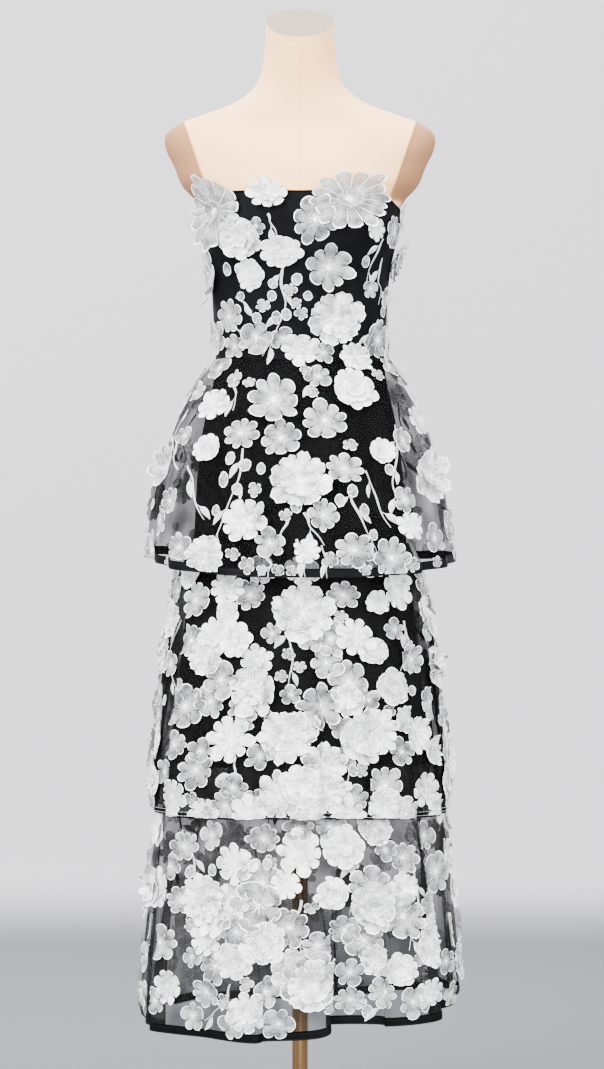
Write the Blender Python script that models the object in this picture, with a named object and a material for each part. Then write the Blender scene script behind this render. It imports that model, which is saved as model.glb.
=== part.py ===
"""Strapless tiered maxi dress with raised flowers, standing on a limbless dress form.

The dress is cut as a fitted bodice in five panels, a plain slip in two, and three
gathered tiers in two halves each, two of them with a ribbon at the hem. The form is a
cloth covered torso with a neck cap and two arm plates, on a pole with a round base.

Tables hold millimetres and degrees, and the meshes are written in metres. The front
faces -Y, Z is up, and the origin is the centre of the base where it meets the floor.
Angles run round the body from the centre front towards +X, the wearer's left.
"""

import math

import bmesh
import bpy
import numpy as np
from mathutils import Vector
from mathutils.bvhtree import BVHTree

MM = 0.001

SEAM_GAP = 0.3
CLOTH = 1.2
RIBBON = 1.0

WAIST = 1077.0
TIER_2_SEAM = 821.0
SLIP_HEM = 515.0
HIP = 845.0
FORM_FLOOR = 800.0
RIBBON_HEIGHT = 12.0

FORM_COLUMNS = 36
BODICE_COLUMNS = 48
SLIP_COLUMNS = 36
PRINCESS_SEAM = 45.0

# Level sections of the form: height, half width, depth in front, depth behind, squareness
FORM_SECTIONS = (
    (800, 138.0, 98, 112, 2.3),
    (845, 142.0, 101, 118, 2.3),
    (900, 141.0, 101, 120, 2.25),
    (950, 137.0, 100, 113, 2.2),
    (1000, 129.0, 97, 101, 2.2),
    (1040, 120.0, 90, 91, 2.2),
    (1077, 115.5, 84, 84, 2.2),
    (1105, 116.5, 86, 85, 2.2),
    (1140, 119.0, 90, 89, 2.2),
    (1175, 121.0, 93, 93, 2.2),
    (1205, 124.5, 97, 97, 2.2),
    (1235, 131.0, 103, 101, 2.2),
    (1265, 137.5, 108, 104, 2.2),
    (1285, 138.5, 109, 105, 2.2),
    (1300, 146.0, 108, 104, 2.25),
    (1318, 163.0, 104, 102, 2.3),
    (1347, 176.0, 93, 96, 2.3),
    (1378, 189.0, 76, 86, 2.3),
    (1392, 188.0, 68, 80, 2.25),
    (1402, 178.0, 63, 76, 2.2),
    (1412, 158.0, 60, 72, 2.15),
    (1422, 128.0, 58, 69, 2.1),
    (1432, 101.0, 56, 66, 2.05),
    (1446, 77.0, 55, 61, 2.0),
    (1462, 61.0, 55, 57, 2.0),
    (1485, 53.0, 57, 52, 2.0),
    (1518, 49.0, 61, 48, 2.0),
    (1600, 48.0, 70, 39, 2.0),
)

# Extra rings of the form where the bodice lies close on it
CLOSE_HEIGHTS = (1190, 1220, 1250, 1275, 1293, 1309)

BUST_ANGLE = 36.0
BUST_HEIGHT = 1254.0
BUST_FULLNESS = 9.0
BUST_SPREAD = 21.0
BUST_RISE = 46.0

NECK_CUT = (0.0, -11.0, 1533.5)
NECK_TILT = 28.0
CAP_HEIGHT = 12.0

# The arm plate's cut is a slanted plane, given where it meets the underarm
PLATE_FOOT_X = 124.0
PLATE_FOOT_Z = 1297.0
PLATE_SLANT = 0.346

POLE_RADIUS = 11.0
BASE_PROFILE = ((160, 0), (160, 6), (154, 10), (90, 15), (28, 20), (22, 30), (0, 30))
BASE_SIDES = 48
POLE_SIDES = 24

# Top edge of the bodice: angle from the centre front, height
BODICE_TOP = ((0, 1303), (24, 1304), (42, 1303), (54, 1298), (66, 1291), (90, 1285), (180, 1288))
BODICE_ROWS = (0.0, 0.16, 0.34, 0.5, 0.63, 0.71, 0.79, 0.87, 1.0)
BODICE_EASE = 1.4

# How far the slip stands off the form: height, at the side, in front, behind, loss of squareness
SLIP_SPREAD = (
    (515, 39.8, 52, 38, 0.15),
    (700, 19.0, 22, 17, 0.1),
    (821, 6.0, 6, 5, 0.0),
    (845, 4.0, 4, 3, 0.0),
    (900, 2.5, 2.5, 2, 0.0),
    (1000, 1.5, 1.5, 1.5, 0.0),
    (1077, 0.6, 0.6, 0.6, 0.0),
)
SLIP_ROWS = (1077, 1040, 1000, 950, 900, 845, 821, 700, 515)

# Outer line of each tier: share of the length, half width, depth in front, depth behind
TIER_1_SECTIONS = (
    (0.0, 119.8, 88.4, 88.4),
    (0.12, 144, 104, 106),
    (0.23, 162, 119, 122),
    (0.37, 179, 134, 140),
    (0.46, 188, 143, 149),
    (0.63, 200, 158, 165),
    (0.76, 208, 169, 175),
    (0.89, 213.5, 178, 183),
    (1.0, 218, 184, 188),
)
TIER_2_SECTIONS = (
    (0.0, 151.9, 111.1, 127.1),
    (0.12, 172, 135, 146),
    (0.25, 181, 150, 158),
    (0.39, 190, 161, 168),
    (0.5, 194, 167, 174),
    (0.68, 201, 175, 182),
    (0.85, 209, 182, 188),
    (1.0, 210, 186, 191),
)
TIER_3_SECTIONS = (
    (0.0, 183.8, 155, 158),
    (0.1, 190, 160, 163),
    (0.21, 199, 167, 170),
    (0.41, 210, 177, 181),
    (0.56, 213, 182, 186),
    (0.69, 218, 187, 191),
    (0.85, 222, 191, 195),
    (1.0, 223, 194, 198),
)

# Height of each hem round the body: angle, height
TIER_1_HEM = ((-180, 790), (-90, 803), (-60, 792), (-30, 778), (0, 775), (30, 777), (60, 786), (90, 796))
TIER_2_HEM = ((-180, 452), (-90, 451), (-45, 447), (0, 450), (45, 446), (90, 449))
TIER_3_HEM = ((-180, 156), (-90, 160), (-48, 154), (-6, 157), (6, 172), (38, 168), (55, 180), (90, 190))

# Large folds as ridges: angle, half span, height at the hem
TIER_1_FOLDS = (
    (-90, 20, 8),
    (-63, 13, 5),
    (-47, 12, 9),
    (-25, 15, 5),
    (-2, 17, 5),
    (21, 13, 5),
    (41, 13, 9),
    (65, 13, 6),
    (90, 18, 8),
    (116, 15, 7),
    (139, 13, 9),
    (160, 13, 6),
    (180, 14, 8),
    (-158, 14, 7),
    (-135, 13, 9),
    (-114, 13, 6),
)
TIER_2_FOLDS = (
    (-90, 15, 8),
    (-68, 12, 6),
    (-46, 13, 10),
    (-24, 13, 5),
    (-4, 13, 9),
    (16, 12, 6),
    (36, 12, 9),
    (56, 11, 8),
    (72, 9, 5),
    (90, 13, 8),
    (110, 12, 7),
    (130, 14, 10),
    (153, 13, 7),
    (176, 14, 9),
    (-162, 12, 7),
    (-141, 13, 9),
    (-117, 14, 8),
)
TIER_3_FOLDS = (
    (-90, 15, 10),
    (-67, 12, 7),
    (-47, 13, 14),
    (-24, 14, 8),
    (-3, 13, 13),
    (20, 14, 8),
    (43, 13, 13),
    (64, 12, 8),
    (90, 16, 10),
    (112, 13, 9),
    (134, 13, 12),
    (157, 14, 9),
    (179, 13, 12),
    (-158, 13, 9),
    (-135, 14, 12),
    (-112, 13, 8),
)

# Size of the gathers down a tier: share of the length, depth
GATHERS = ((0.0, 0.8), (0.07, 3.2), (0.2, 3.4), (0.42, 1.0), (0.6, 0.0), (1.0, 0.0))
HANGING_SQUARENESS = 2.1
# How far the large folds have opened: share of the length, share of their height
FOLD_GROWTH = ((0.0, 0.0), (0.07, 0.08), (0.3, 0.45), (0.6, 0.8), (1.0, 1.0))

# Flowers that stand off the cloth: name, side that it faces, place across, height,
# diameter, petals, lift of the petal tips
FLOWERS = (
    ("neckline_daisy_right", "front", -119, 1281, 88, 10, 9),
    ("neckline_daisy_left", "front", 67, 1291, 104, 14, 9),
    ("neckline_scallop", "front", -44, 1300, 54, 8, 8),
    ("bust_rosette", "front", -82, 1240, 54, 6, 6),
    ("bust_organza", "front", 39, 1200, 62, 6, 8),
    ("waist_carnation", "front", 50, 1130, 76, 11, 8),
    ("waist_rosette", "front", -60, 1105, 52, 6, 8),
    ("side_rosette_right", "right", -20, 1180, 62, 6, 10),
    ("side_rosette_left", "left", 10, 1215, 62, 8, 10),
    ("peplum_daisy", "front", -35, 1016, 66, 8, 8),
    ("peplum_organza", "front", 72, 1028, 54, 10, 7),
    ("peplum_carnation", "front", 0, 905, 74, 11, 9),
    ("peplum_rosette", "front", -74, 850, 56, 6, 8),
    ("peplum_side_left", "left", -60, 910, 72, 10, 16),
    ("peplum_side_right", "right", -40, 925, 56, 8, 16),
    ("middle_daisy_centre", "front", 3, 724, 70, 8, 8),
    ("middle_daisy_right", "front", -58, 620, 66, 8, 10),
    ("middle_rosette_left", "front", 90, 555, 66, 6, 9),
    ("middle_side_left", "left", -50, 650, 62, 8, 15),
    ("lower_daisy_right", "front", -118, 325, 70, 8, 9),
    ("lower_rosette_left", "front", 100, 330, 66, 6, 9),
    ("lower_daisy_centre", "front", 18, 232, 72, 10, 8),
    ("lower_side_right", "right", -45, 345, 66, 6, 15),
    ("back_bodice_daisy", "back", -58, 1205, 70, 10, 8),
    ("back_peplum_daisy", "back", 52, 950, 70, 8, 9),
    ("back_middle_daisy", "back", -62, 640, 72, 8, 9),
    ("back_lower_rosette", "back", 70, 320, 70, 10, 9),
)
PETAL_SHEET = 1.0
FLOWER_SEAT = 0.45
# Rays that look for the cloth start this far out from a flower
LOOK_FROM = 60.0

ZIP_HEIGHT = 1275.0
SLIDER = (5.6, 2.0, 9.0)
EAR_INNER = 1.9
EAR_OUTER = 2.8
EAR_HALF_HEIGHT = 1.7
PIN_RADIUS = 0.7
PIN_STANDOFF = 2.2
EYE_RADIUS = 1.7
EYE_HOLE = 1.0
EYE_HALF_WIDTH = 1.6
TAB_HALF_THICKNESS = 0.6
# Outline of the pull tab below its pin: depth below the pin, half width
TAB_OUTLINE = ((-0.6, 1.6), (-6, 1.6), (-19, 3.0), (-22, 2.7), (-24, 1.6))

COLOURS = {
    "cover": ((0.85, 0.74, 0.60), 0.8, 0.0),
    "cap": ((0.66, 0.60, 0.53), 0.7, 0.0),
    "brass": ((0.78, 0.56, 0.27), 0.25, 1.0),
    "base": ((0.70, 0.60, 0.42), 0.35, 1.0),
    "black_cloth": ((0.012, 0.012, 0.013), 0.75, 0.0),
    "black_net": ((0.03, 0.03, 0.033), 0.7, 0.0),
    "ribbon": ((0.012, 0.012, 0.012), 0.4, 0.0),
    "white_flower": ((0.86, 0.86, 0.85), 0.7, 0.0),
    "zip": ((0.02, 0.02, 0.02), 0.4, 0.6),
}


def remove_old_objects():
    for old in list(bpy.data.objects):
        bpy.data.objects.remove(old, do_unlink=True)


def material(slot):
    """The slot's Principled material, made once."""
    made = bpy.data.materials.get(slot)
    if made is None:
        colour, roughness, metallic = COLOURS[slot]
        made = bpy.data.materials.new(slot)
        made.use_nodes = True
        shader = made.node_tree.nodes["Principled BSDF"]
        shader.inputs["Base Color"].default_value = (*colour, 1.0)
        shader.inputs["Roughness"].default_value = roughness
        shader.inputs["Metallic"].default_value = metallic
    return made


def object_from_bmesh(name, mesh_edit, slot, place=(0, 0, 0)):
    """Turns a bmesh in millimetres into an object in metres, faces out and shaded smooth."""
    bmesh.ops.recalc_face_normals(mesh_edit, faces=mesh_edit.faces)
    bmesh.ops.scale(mesh_edit, vec=(MM, MM, MM), verts=mesh_edit.verts)
    mesh = bpy.data.meshes.new(name)
    mesh_edit.to_mesh(mesh)
    mesh_edit.free()
    mesh.shade_smooth()
    mesh.set_sharp_from_angle(angle=math.radians(40))
    mesh.materials.append(material(slot))
    made = bpy.data.objects.new(name, mesh)
    made.location = Vector(place) * MM
    bpy.context.collection.objects.link(made)
    return made


def smooth(table, at, column):
    """Reads a table's column by cubic Hermite curves whose slopes come from neighbouring rows."""
    keys = np.array([row[0] for row in table], float)
    values = np.array([row[column] for row in table], float)
    slopes = np.gradient(values, keys)
    at = np.clip(np.asarray(at, float), keys[0], keys[-1])
    left = np.clip(np.searchsorted(keys, at, side="right") - 1, 0, len(keys) - 2)
    width = keys[left + 1] - keys[left]
    part = (at - keys[left]) / width
    start = values[left] * (1 + 2 * part) * (1 - part) ** 2
    end = values[left + 1] * part**2 * (3 - 2 * part)
    lean_start = slopes[left] * width * part * (1 - part) ** 2
    lean_end = slopes[left + 1] * width * part**2 * (part - 1)
    return start + end + lean_start + lean_end


def section_points(angle, width, front, back, squareness, height):
    """A level superellipse whose front and back halves have their own depths."""
    turn = np.radians(angle)
    across, ahead = np.sin(turn), np.cos(turn)
    power = 2.0 / squareness
    depth = np.where(ahead > 0, front, back)
    x = width * np.sign(across) * np.abs(across) ** power
    y = -depth * np.sign(ahead) * np.abs(ahead) ** power
    return np.stack(np.broadcast_arrays(x, y, height), axis=-1)


def wrapped(angle):
    """The angle brought between -180 and 180."""
    return (np.asarray(angle, float) + 180.0) % 360.0 - 180.0


def body_surface(angle, height):
    """The form's own surface: its sections, with two soft mounds at the bust."""
    width, front, back, squareness = (smooth(FORM_SECTIONS, height, column) for column in (1, 2, 3, 4))
    points = section_points(angle, width, front, back, squareness, height)
    off_centre = (np.abs(wrapped(angle)) - BUST_ANGLE) / BUST_SPREAD
    fullness = BUST_FULLNESS * np.exp(-(off_centre**2) - ((height - BUST_HEIGHT) / BUST_RISE) ** 2)
    turn = np.radians(angle)
    out = np.stack([np.sin(turn), -np.cos(turn), np.zeros_like(turn)], axis=-1)
    return points + fullness[..., None] * out


def slip_surface(angle, height):
    """Inner face of the slip: it follows the form down to the hips and then spreads to its hem."""
    at = np.maximum(height, HIP)
    width, front, back = (
        smooth(FORM_SECTIONS, at, column) + smooth(SLIP_SPREAD, height, column) for column in (1, 2, 3)
    )
    squareness = smooth(FORM_SECTIONS, at, 4) - smooth(SLIP_SPREAD, height, 4)
    return section_points(angle, width, front, back, squareness, height)


def hem_height(hem, angle):
    """Height of a hem at an angle, from a table that closes on itself at the centre back."""
    closed = hem + ((180, hem[0][1]),)
    return smooth(closed, wrapped(angle), 1)


def fold_height(folds, angle):
    """Ridges with the profile of a squared cosine, added up round the body."""
    total = np.zeros_like(np.asarray(angle, float))
    for centre, half_span, height in folds:
        away = np.abs(wrapped(angle - centre)) / half_span
        total += np.where(away < 1, height * np.cos(away * math.pi / 2) ** 2, 0)
    return total


class Tier:
    """A gathered ring of cloth: its seam, hem, sections, folds and number of gathers."""

    def __init__(self, seam, squareness, hem, sections, folds, gathers):
        self.seam = seam
        self.squareness = squareness
        self.hem = hem
        self.sections = sections
        self.folds = folds
        self.gathers = gathers

    def surface(self, angle, share):
        """Outer face at a share of the length below the seam."""
        width, front, back = (smooth(self.sections, share, column) for column in (1, 2, 3))
        height = self.seam + share * (hem_height(self.hem, angle) - self.seam)
        hanging = (self.squareness, HANGING_SQUARENESS, HANGING_SQUARENESS)
        squareness = np.interp(share, (0.0, 0.4, 1.0), hanging)
        points = section_points(angle, width, front, back, squareness, height)
        turn = np.radians(angle)
        ridge = fold_height(self.folds, angle) - fold_height(self.folds, np.array(90.0))
        wave = -(1 + np.cos(self.gathers * turn)) / 2
        push = ridge * np.interp(share, *np.transpose(FOLD_GROWTH))
        push += wave * np.interp(share, *np.transpose(GATHERS))
        out = np.stack([np.sin(turn), -np.cos(turn), np.zeros_like(turn)], axis=-1)
        return points + push[..., None] * out


def offset_grid(surface, angles, levels, distance):
    """Points of a surface moved along its normal, one row for each level and one column for each angle."""
    angle, level = np.meshgrid(np.asarray(angles, float), np.asarray(levels, float))
    return offset_points(surface, angle, level, distance)


def offset_points(surface, angle, level, distance):
    """The surface's points moved out by a distance, along the cross of its two slopes."""
    step = 0.4
    rise = 1.0 if np.max(np.abs(level)) > 2 else 0.004
    round_way = surface(angle + step, level) - surface(angle - step, level)
    level_way = surface(angle, level + rise) - surface(angle, level - rise)
    normal = np.cross(round_way, level_way)
    normal /= np.linalg.norm(normal, axis=-1, keepdims=True)
    points = surface(angle, level)
    radial = points * (1, 1, 0)
    outward = np.sign(np.sum(normal * radial, axis=-1, keepdims=True))
    return points + normal * outward * distance


def panel(inner, outer, first, last):
    """Columns first to last of a wall, its side edges moved in by half a seam gap."""
    edges = []
    for grid in (inner, outer):
        cut = grid[:, first : last + 1].copy()
        for edge, neighbour in ((0, 1), (-1, -2)):
            way = cut[:, neighbour] - cut[:, edge]
            way[:, 2] = 0
            way /= np.linalg.norm(way, axis=1, keepdims=True)
            edges.append((cut, edge, way * SEAM_GAP / 2))
    for cut, edge, shift in edges:
        cut[:, edge] += shift
    return edges[0][0], edges[2][0]


def wall_solid(name, inner, outer, slot):
    """A closed wall between two grids of points, joined along all four edges."""
    mesh_edit = bmesh.new()
    rows, columns = outer.shape[:2]
    skins = []
    for grid in (inner, outer):
        skins.append([[mesh_edit.verts.new(point) for point in row] for row in grid.tolist()])
    for skin in skins:
        for row in range(rows - 1):
            for column in range(columns - 1):
                mesh_edit.faces.new(
                    (
                        skin[row][column],
                        skin[row][column + 1],
                        skin[row + 1][column + 1],
                        skin[row + 1][column],
                    )
                )
    near, far = skins
    for row in (0, rows - 1):
        for near_pair, far_pair in zip(zip(near[row], near[row][1:]), zip(far[row], far[row][1:])):
            mesh_edit.faces.new((*near_pair, *reversed(far_pair)))
    for column in (0, columns - 1):
        for row in range(rows - 1):
            near_pair = (near[row][column], near[row + 1][column])
            far_pair = (far[row + 1][column], far[row][column])
            mesh_edit.faces.new((*near_pair, *far_pair))
    return object_from_bmesh(name, mesh_edit, slot)


def loft(sections):
    """A closed bmesh through rings of points, with a flat face at each end."""
    mesh_edit = bmesh.new()
    rings = [[mesh_edit.verts.new(point) for point in ring] for ring in sections.tolist()]
    count = len(rings[0])
    for low, high in zip(rings, rings[1:]):
        for index in range(count):
            following = (index + 1) % count
            mesh_edit.faces.new((low[index], low[following], high[following], high[index]))
    mesh_edit.faces.new(rings[0])
    mesh_edit.faces.new(rings[-1])
    bmesh.ops.recalc_face_normals(mesh_edit, faces=mesh_edit.faces)
    return mesh_edit


def trim(mesh_edit, point, normal):
    """Cuts away what lies beyond a plane, and closes the cut with one face."""
    everything = list(mesh_edit.verts) + list(mesh_edit.edges) + list(mesh_edit.faces)
    cut = bmesh.ops.bisect_plane(
        mesh_edit, geom=everything, dist=0.0001, plane_co=point, plane_no=normal, clear_outer=True
    )
    rim = [item for item in cut["geom_cut"] if isinstance(item, bmesh.types.BMEdge)]
    bmesh.ops.contextual_create(mesh_edit, geom=rim)


def form_loft():
    angles = np.arange(FORM_COLUMNS) * 360.0 / FORM_COLUMNS
    heights = sorted([row[0] for row in FORM_SECTIONS] + list(CLOSE_HEIGHTS))
    angle, height = np.meshgrid(angles, np.array(heights, float))
    return loft(body_surface(angle, height))


def plate_cutter(name, side, gap):
    """The wedge outside the arm plate's slanted cut, above the underarm, shrunk by a gap."""
    foot = PLATE_FOOT_X + gap * 1.1
    floor = PLATE_FOOT_Z + gap
    outer, top, reach = 300.0, 1460.0, 200.0
    crest = foot + (top - floor) * PLATE_SLANT
    outline = ((foot, floor), (outer, floor), (outer, top), (crest, top))
    mesh_edit = bmesh.new()
    near = [mesh_edit.verts.new((side * x, -reach, z)) for x, z in outline]
    far = [mesh_edit.verts.new((side * x, reach, z)) for x, z in outline]
    mesh_edit.faces.new(near)
    mesh_edit.faces.new(far)
    for index in range(4):
        following = (index + 1) % 4
        mesh_edit.faces.new((near[index], near[following], far[following], far[index]))
    cutter = object_from_bmesh(name, mesh_edit, "cover")
    cutter.hide_render = True
    cutter.display_type = "WIRE"
    return cutter


def cut_with(target, operation, tool):
    change = target.modifiers.new(operation.lower(), "BOOLEAN")
    change.operation = operation
    change.object = tool


def neck_normal():
    tilt = math.radians(NECK_TILT)
    return Vector((0, -math.sin(tilt), math.cos(tilt)))


def build_form():
    """Torso, neck cap and arm plates, all cut from one lofted body."""
    tilt = neck_normal()
    seat = Vector(NECK_CUT)

    torso_mesh = form_loft()
    trim(torso_mesh, seat, tilt)
    torso = object_from_bmesh("form_torso", torso_mesh, "cover")

    cap_mesh = form_loft()
    trim(cap_mesh, seat + tilt * CAP_HEIGHT, tilt)
    trim(cap_mesh, seat + tilt * SEAM_GAP, -tilt)
    object_from_bmesh("form_neck_cap", cap_mesh, "cap")

    for side_name, side in (("left", 1), ("right", -1)):
        cut_with(torso, "DIFFERENCE", plate_cutter(f"socket_{side_name}", side, 0.0))
        plate_mesh = form_loft()
        trim(plate_mesh, seat, tilt)
        plate = object_from_bmesh(f"form_arm_plate_{side_name}", plate_mesh, "cover")
        cut_with(plate, "INTERSECT", plate_cutter(f"plate_edge_{side_name}", side, SEAM_GAP))


def build_stand():
    """A turned base and a straight pole up to the form's floor."""
    turns = np.arange(BASE_SIDES) * 2 * math.pi / BASE_SIDES
    circle = np.stack([np.cos(turns), np.sin(turns), np.zeros(BASE_SIDES)], axis=-1)
    rings = [circle * radius + (0, 0, height) for radius, height in BASE_PROFILE[:-1]]
    object_from_bmesh("stand_base", loft(np.array(rings)), "base")

    foot = BASE_PROFILE[-1][1] + SEAM_GAP
    top = FORM_FLOOR - SEAM_GAP
    pole = bmesh.new()
    bmesh.ops.create_cone(
        pole, cap_ends=True, segments=POLE_SIDES, radius1=POLE_RADIUS, radius2=POLE_RADIUS, depth=top - foot
    )
    bmesh.ops.translate(pole, vec=(0, 0, (top + foot) / 2), verts=pole.verts)
    object_from_bmesh("stand_pole", pole, "brass")


def bodice_surface(angle, share):
    """The form's surface between the waist seam and the top edge."""
    top = smooth(BODICE_TOP, np.abs(wrapped(angle)), 1)
    waist = WAIST + SEAM_GAP / 2
    return body_surface(angle, waist + share * (top - waist))


def build_bodice():
    """Five panels cut from one wall: front, two side fronts and two backs."""
    step = 360.0 / BODICE_COLUMNS
    angles = -180.0 + step * np.arange(BODICE_COLUMNS + 1)
    inner = offset_grid(bodice_surface, angles, BODICE_ROWS, BODICE_EASE)
    outer = offset_grid(bodice_surface, angles, BODICE_ROWS, BODICE_EASE + CLOTH)
    seams = [-180.0, -90.0, -PRINCESS_SEAM, PRINCESS_SEAM, 90.0, 180.0]
    names = ("bodice_back_right", "bodice_side_right", "bodice_front", "bodice_side_left", "bodice_back_left")
    for name, start, end in zip(names, seams, seams[1:]):
        first, last = round((start + 180) / step), round((end + 180) / step)
        wall_solid(name, *panel(inner, outer, first, last), "black_cloth")


def halves(name, inner, outer, slot):
    """Front and back of a ring whose columns start at the right side seam."""
    middle = (inner.shape[1] - 1) // 2
    wall_solid(f"{name}_front", *panel(inner, outer, 0, middle), slot)
    wall_solid(f"{name}_back", *panel(inner, outer, middle, 2 * middle), slot)


def ring_angles(columns):
    return -90.0 + 360.0 * np.arange(columns + 1) / columns


def build_slip():
    levels = np.array(SLIP_ROWS, float)
    levels[0] -= SEAM_GAP / 2
    levels[-1] += SEAM_GAP / 2
    angles = ring_angles(SLIP_COLUMNS)
    inner = offset_grid(slip_surface, angles, levels, 0.0)
    outer = offset_grid(slip_surface, angles, levels, CLOTH)
    halves("slip", inner, outer, "black_cloth")


TIERS = {
    "tier_1": (Tier(WAIST - SEAM_GAP / 2, 2.2, TIER_1_HEM, TIER_1_SECTIONS, TIER_1_FOLDS, 18), 72, True),
    "tier_2": (Tier(TIER_2_SEAM, 2.3, TIER_2_HEM, TIER_2_SECTIONS, TIER_2_FOLDS, 20), 80, False),
    "tier_3": (Tier(SLIP_HEM - SEAM_GAP / 2, 2.15, TIER_3_HEM, TIER_3_SECTIONS, TIER_3_FOLDS, 20), 80, True),
}
TIER_ROWS = (0.0, 0.07, 0.2, 0.42, 0.7)


def build_tiers():
    """Three gathered tiers, the first and the last with a ribbon laid on the hem."""
    for name, (tier, columns, has_ribbon) in TIERS.items():
        length = tier.seam - tier.hem[0][1]
        levels = (*TIER_ROWS, 1.0 - RIBBON_HEIGHT / length, 1.0)
        angles = ring_angles(columns)
        inner = offset_grid(tier.surface, angles, levels, -CLOTH)
        outer = offset_grid(tier.surface, angles, levels, 0.0)
        halves(name, inner, outer, "black_net")
        if has_ribbon:
            under = offset_grid(tier.surface, angles, levels[-2:], SEAM_GAP)
            over = offset_grid(tier.surface, angles, levels[-2:], SEAM_GAP + RIBBON)
            halves(f"{name}_ribbon", under, over, "ribbon")


SIDE_VIEWS = {
    "front": (Vector((1, 0, 0)), Vector((0, 1, 0))),
    "back": (Vector((1, 0, 0)), Vector((0, -1, 0))),
    "left": (Vector((0, 1, 0)), Vector((-1, 0, 0))),
    "right": (Vector((0, 1, 0)), Vector((1, 0, 0))),
}
UP = Vector((0, 0, 1))
FAR = 500.0


def cloth_tree():
    """All cloth that a flower may rest on, as one tree in millimetres."""
    points, faces = [], []
    for thing in bpy.data.objects:
        if thing.name.startswith(("bodice_", "tier_", "slip_")):
            start = len(points)
            points += [vertex.co / MM for vertex in thing.data.vertices]
            faces += [[start + index for index in face.vertices] for face in thing.data.polygons]
    return BVHTree.FromPolygons(points, faces)


def flower_outline(petals, radius):
    """Unit directions and reaches of the rim: a notch and two shoulders for each petal."""
    shares = ((0.0, 0.72), (0.3, 1.0), (0.7, 1.0)) if petals <= 8 else ((0.0, 0.84), (0.5, 1.0))
    for petal in range(petals):
        for part, reach in shares:
            turn = 2 * math.pi * (petal + part) / petals
            yield math.cos(turn), math.sin(turn), radius * reach


def flower_mesh(place, across, up, out, petals, radius, lift):
    """A dished flower: a thin cone of petals over its stitched centre."""
    mesh_edit = bmesh.new()
    rim = []
    for along, above, reach in flower_outline(petals, radius):
        raised = lift * (reach / radius) ** 2
        rim.append(place + across * (along * reach) + up * (above * reach) + out * raised)
    below = [mesh_edit.verts.new(point) for point in rim]
    above = [mesh_edit.verts.new(point + out * PETAL_SHEET) for point in rim]
    low = mesh_edit.verts.new(place)
    high = mesh_edit.verts.new(place + out * PETAL_SHEET)
    for index in range(len(rim)):
        following = (index + 1) % len(rim)
        mesh_edit.faces.new((low, below[following], below[index]))
        mesh_edit.faces.new((high, above[index], above[following]))
        mesh_edit.faces.new((below[index], below[following], above[following], above[index]))
    return mesh_edit, low.co.copy(), rim


def least_clearance(trees, low, rim, out):
    """Smallest distance, along the flower's own axis, from its underside down to what lies below."""
    steps = 12
    least = FAR
    for index, corner in enumerate(rim):
        following = rim[(index + 1) % len(rim)]
        for ring in range(steps + 1):
            for side in range(steps):
                rim_point = corner.lerp(following, side / steps)
                sample = low.lerp(rim_point, ring / steps)
                for tree in trees:
                    hit = tree.ray_cast(sample + out * LOOK_FROM, -out)[0]
                    if hit is not None:
                        least = min(least, (sample - hit).dot(out))
    return least


def build_flowers():
    """Each flower faces along the mean normal of the cloth under it and is seated just clear of it."""
    trees = [cloth_tree()]
    for name, side, place_across, height, diameter, petals, lift in FLOWERS:
        across, inward = SIDE_VIEWS[side]
        start = across * place_across + UP * height - inward * FAR
        centre = trees[0].ray_cast(start, inward)[0]
        out = Vector()
        for shift_across in (-0.3, 0.0, 0.3):
            for shift_up in (-0.3, 0.0, 0.3):
                origin = start + across * (shift_across * diameter) + UP * (shift_up * diameter)
                normal = trees[0].ray_cast(origin, inward)[1]
                if normal is not None:
                    out += normal if normal.dot(inward) < 0 else -normal
        out.normalize()
        flat_across = UP.cross(out).normalized()
        flat_up = out.cross(flat_across)
        radius = diameter / 2
        trial, low, rim = flower_mesh(centre, flat_across, flat_up, out, petals, radius, lift)
        trial.free()
        seat = FLOWER_SEAT - least_clearance(trees, low, rim, out)
        mesh_edit, _, _ = flower_mesh(centre + out * seat, flat_across, flat_up, out, petals, radius, lift)
        trees.append(BVHTree.FromBMesh(mesh_edit))
        object_from_bmesh(name, mesh_edit, "white_flower")


def box(x, y, z):
    """A box from three pairs of limits."""
    mesh_edit = bmesh.new()
    bmesh.ops.create_cube(mesh_edit, size=1.0)
    for vertex in mesh_edit.verts:
        vertex.co = [low + (value + 0.5) * (high - low) for value, (low, high) in zip(vertex.co, (x, y, z))]
    return mesh_edit


def rod(radius, half_length, sides=12):
    """A rod along X, centred on the origin."""
    mesh_edit = bmesh.new()
    bmesh.ops.create_cone(
        mesh_edit, cap_ends=True, segments=sides, radius1=radius, radius2=radius, depth=2 * half_length
    )
    for vertex in mesh_edit.verts:
        vertex.co = (vertex.co.z, vertex.co.x, vertex.co.y)
    return mesh_edit


def hidden(name, mesh_edit, place):
    tool = object_from_bmesh(name, mesh_edit, "zip", place)
    tool.hide_render = True
    tool.display_type = "WIRE"
    return tool


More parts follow.
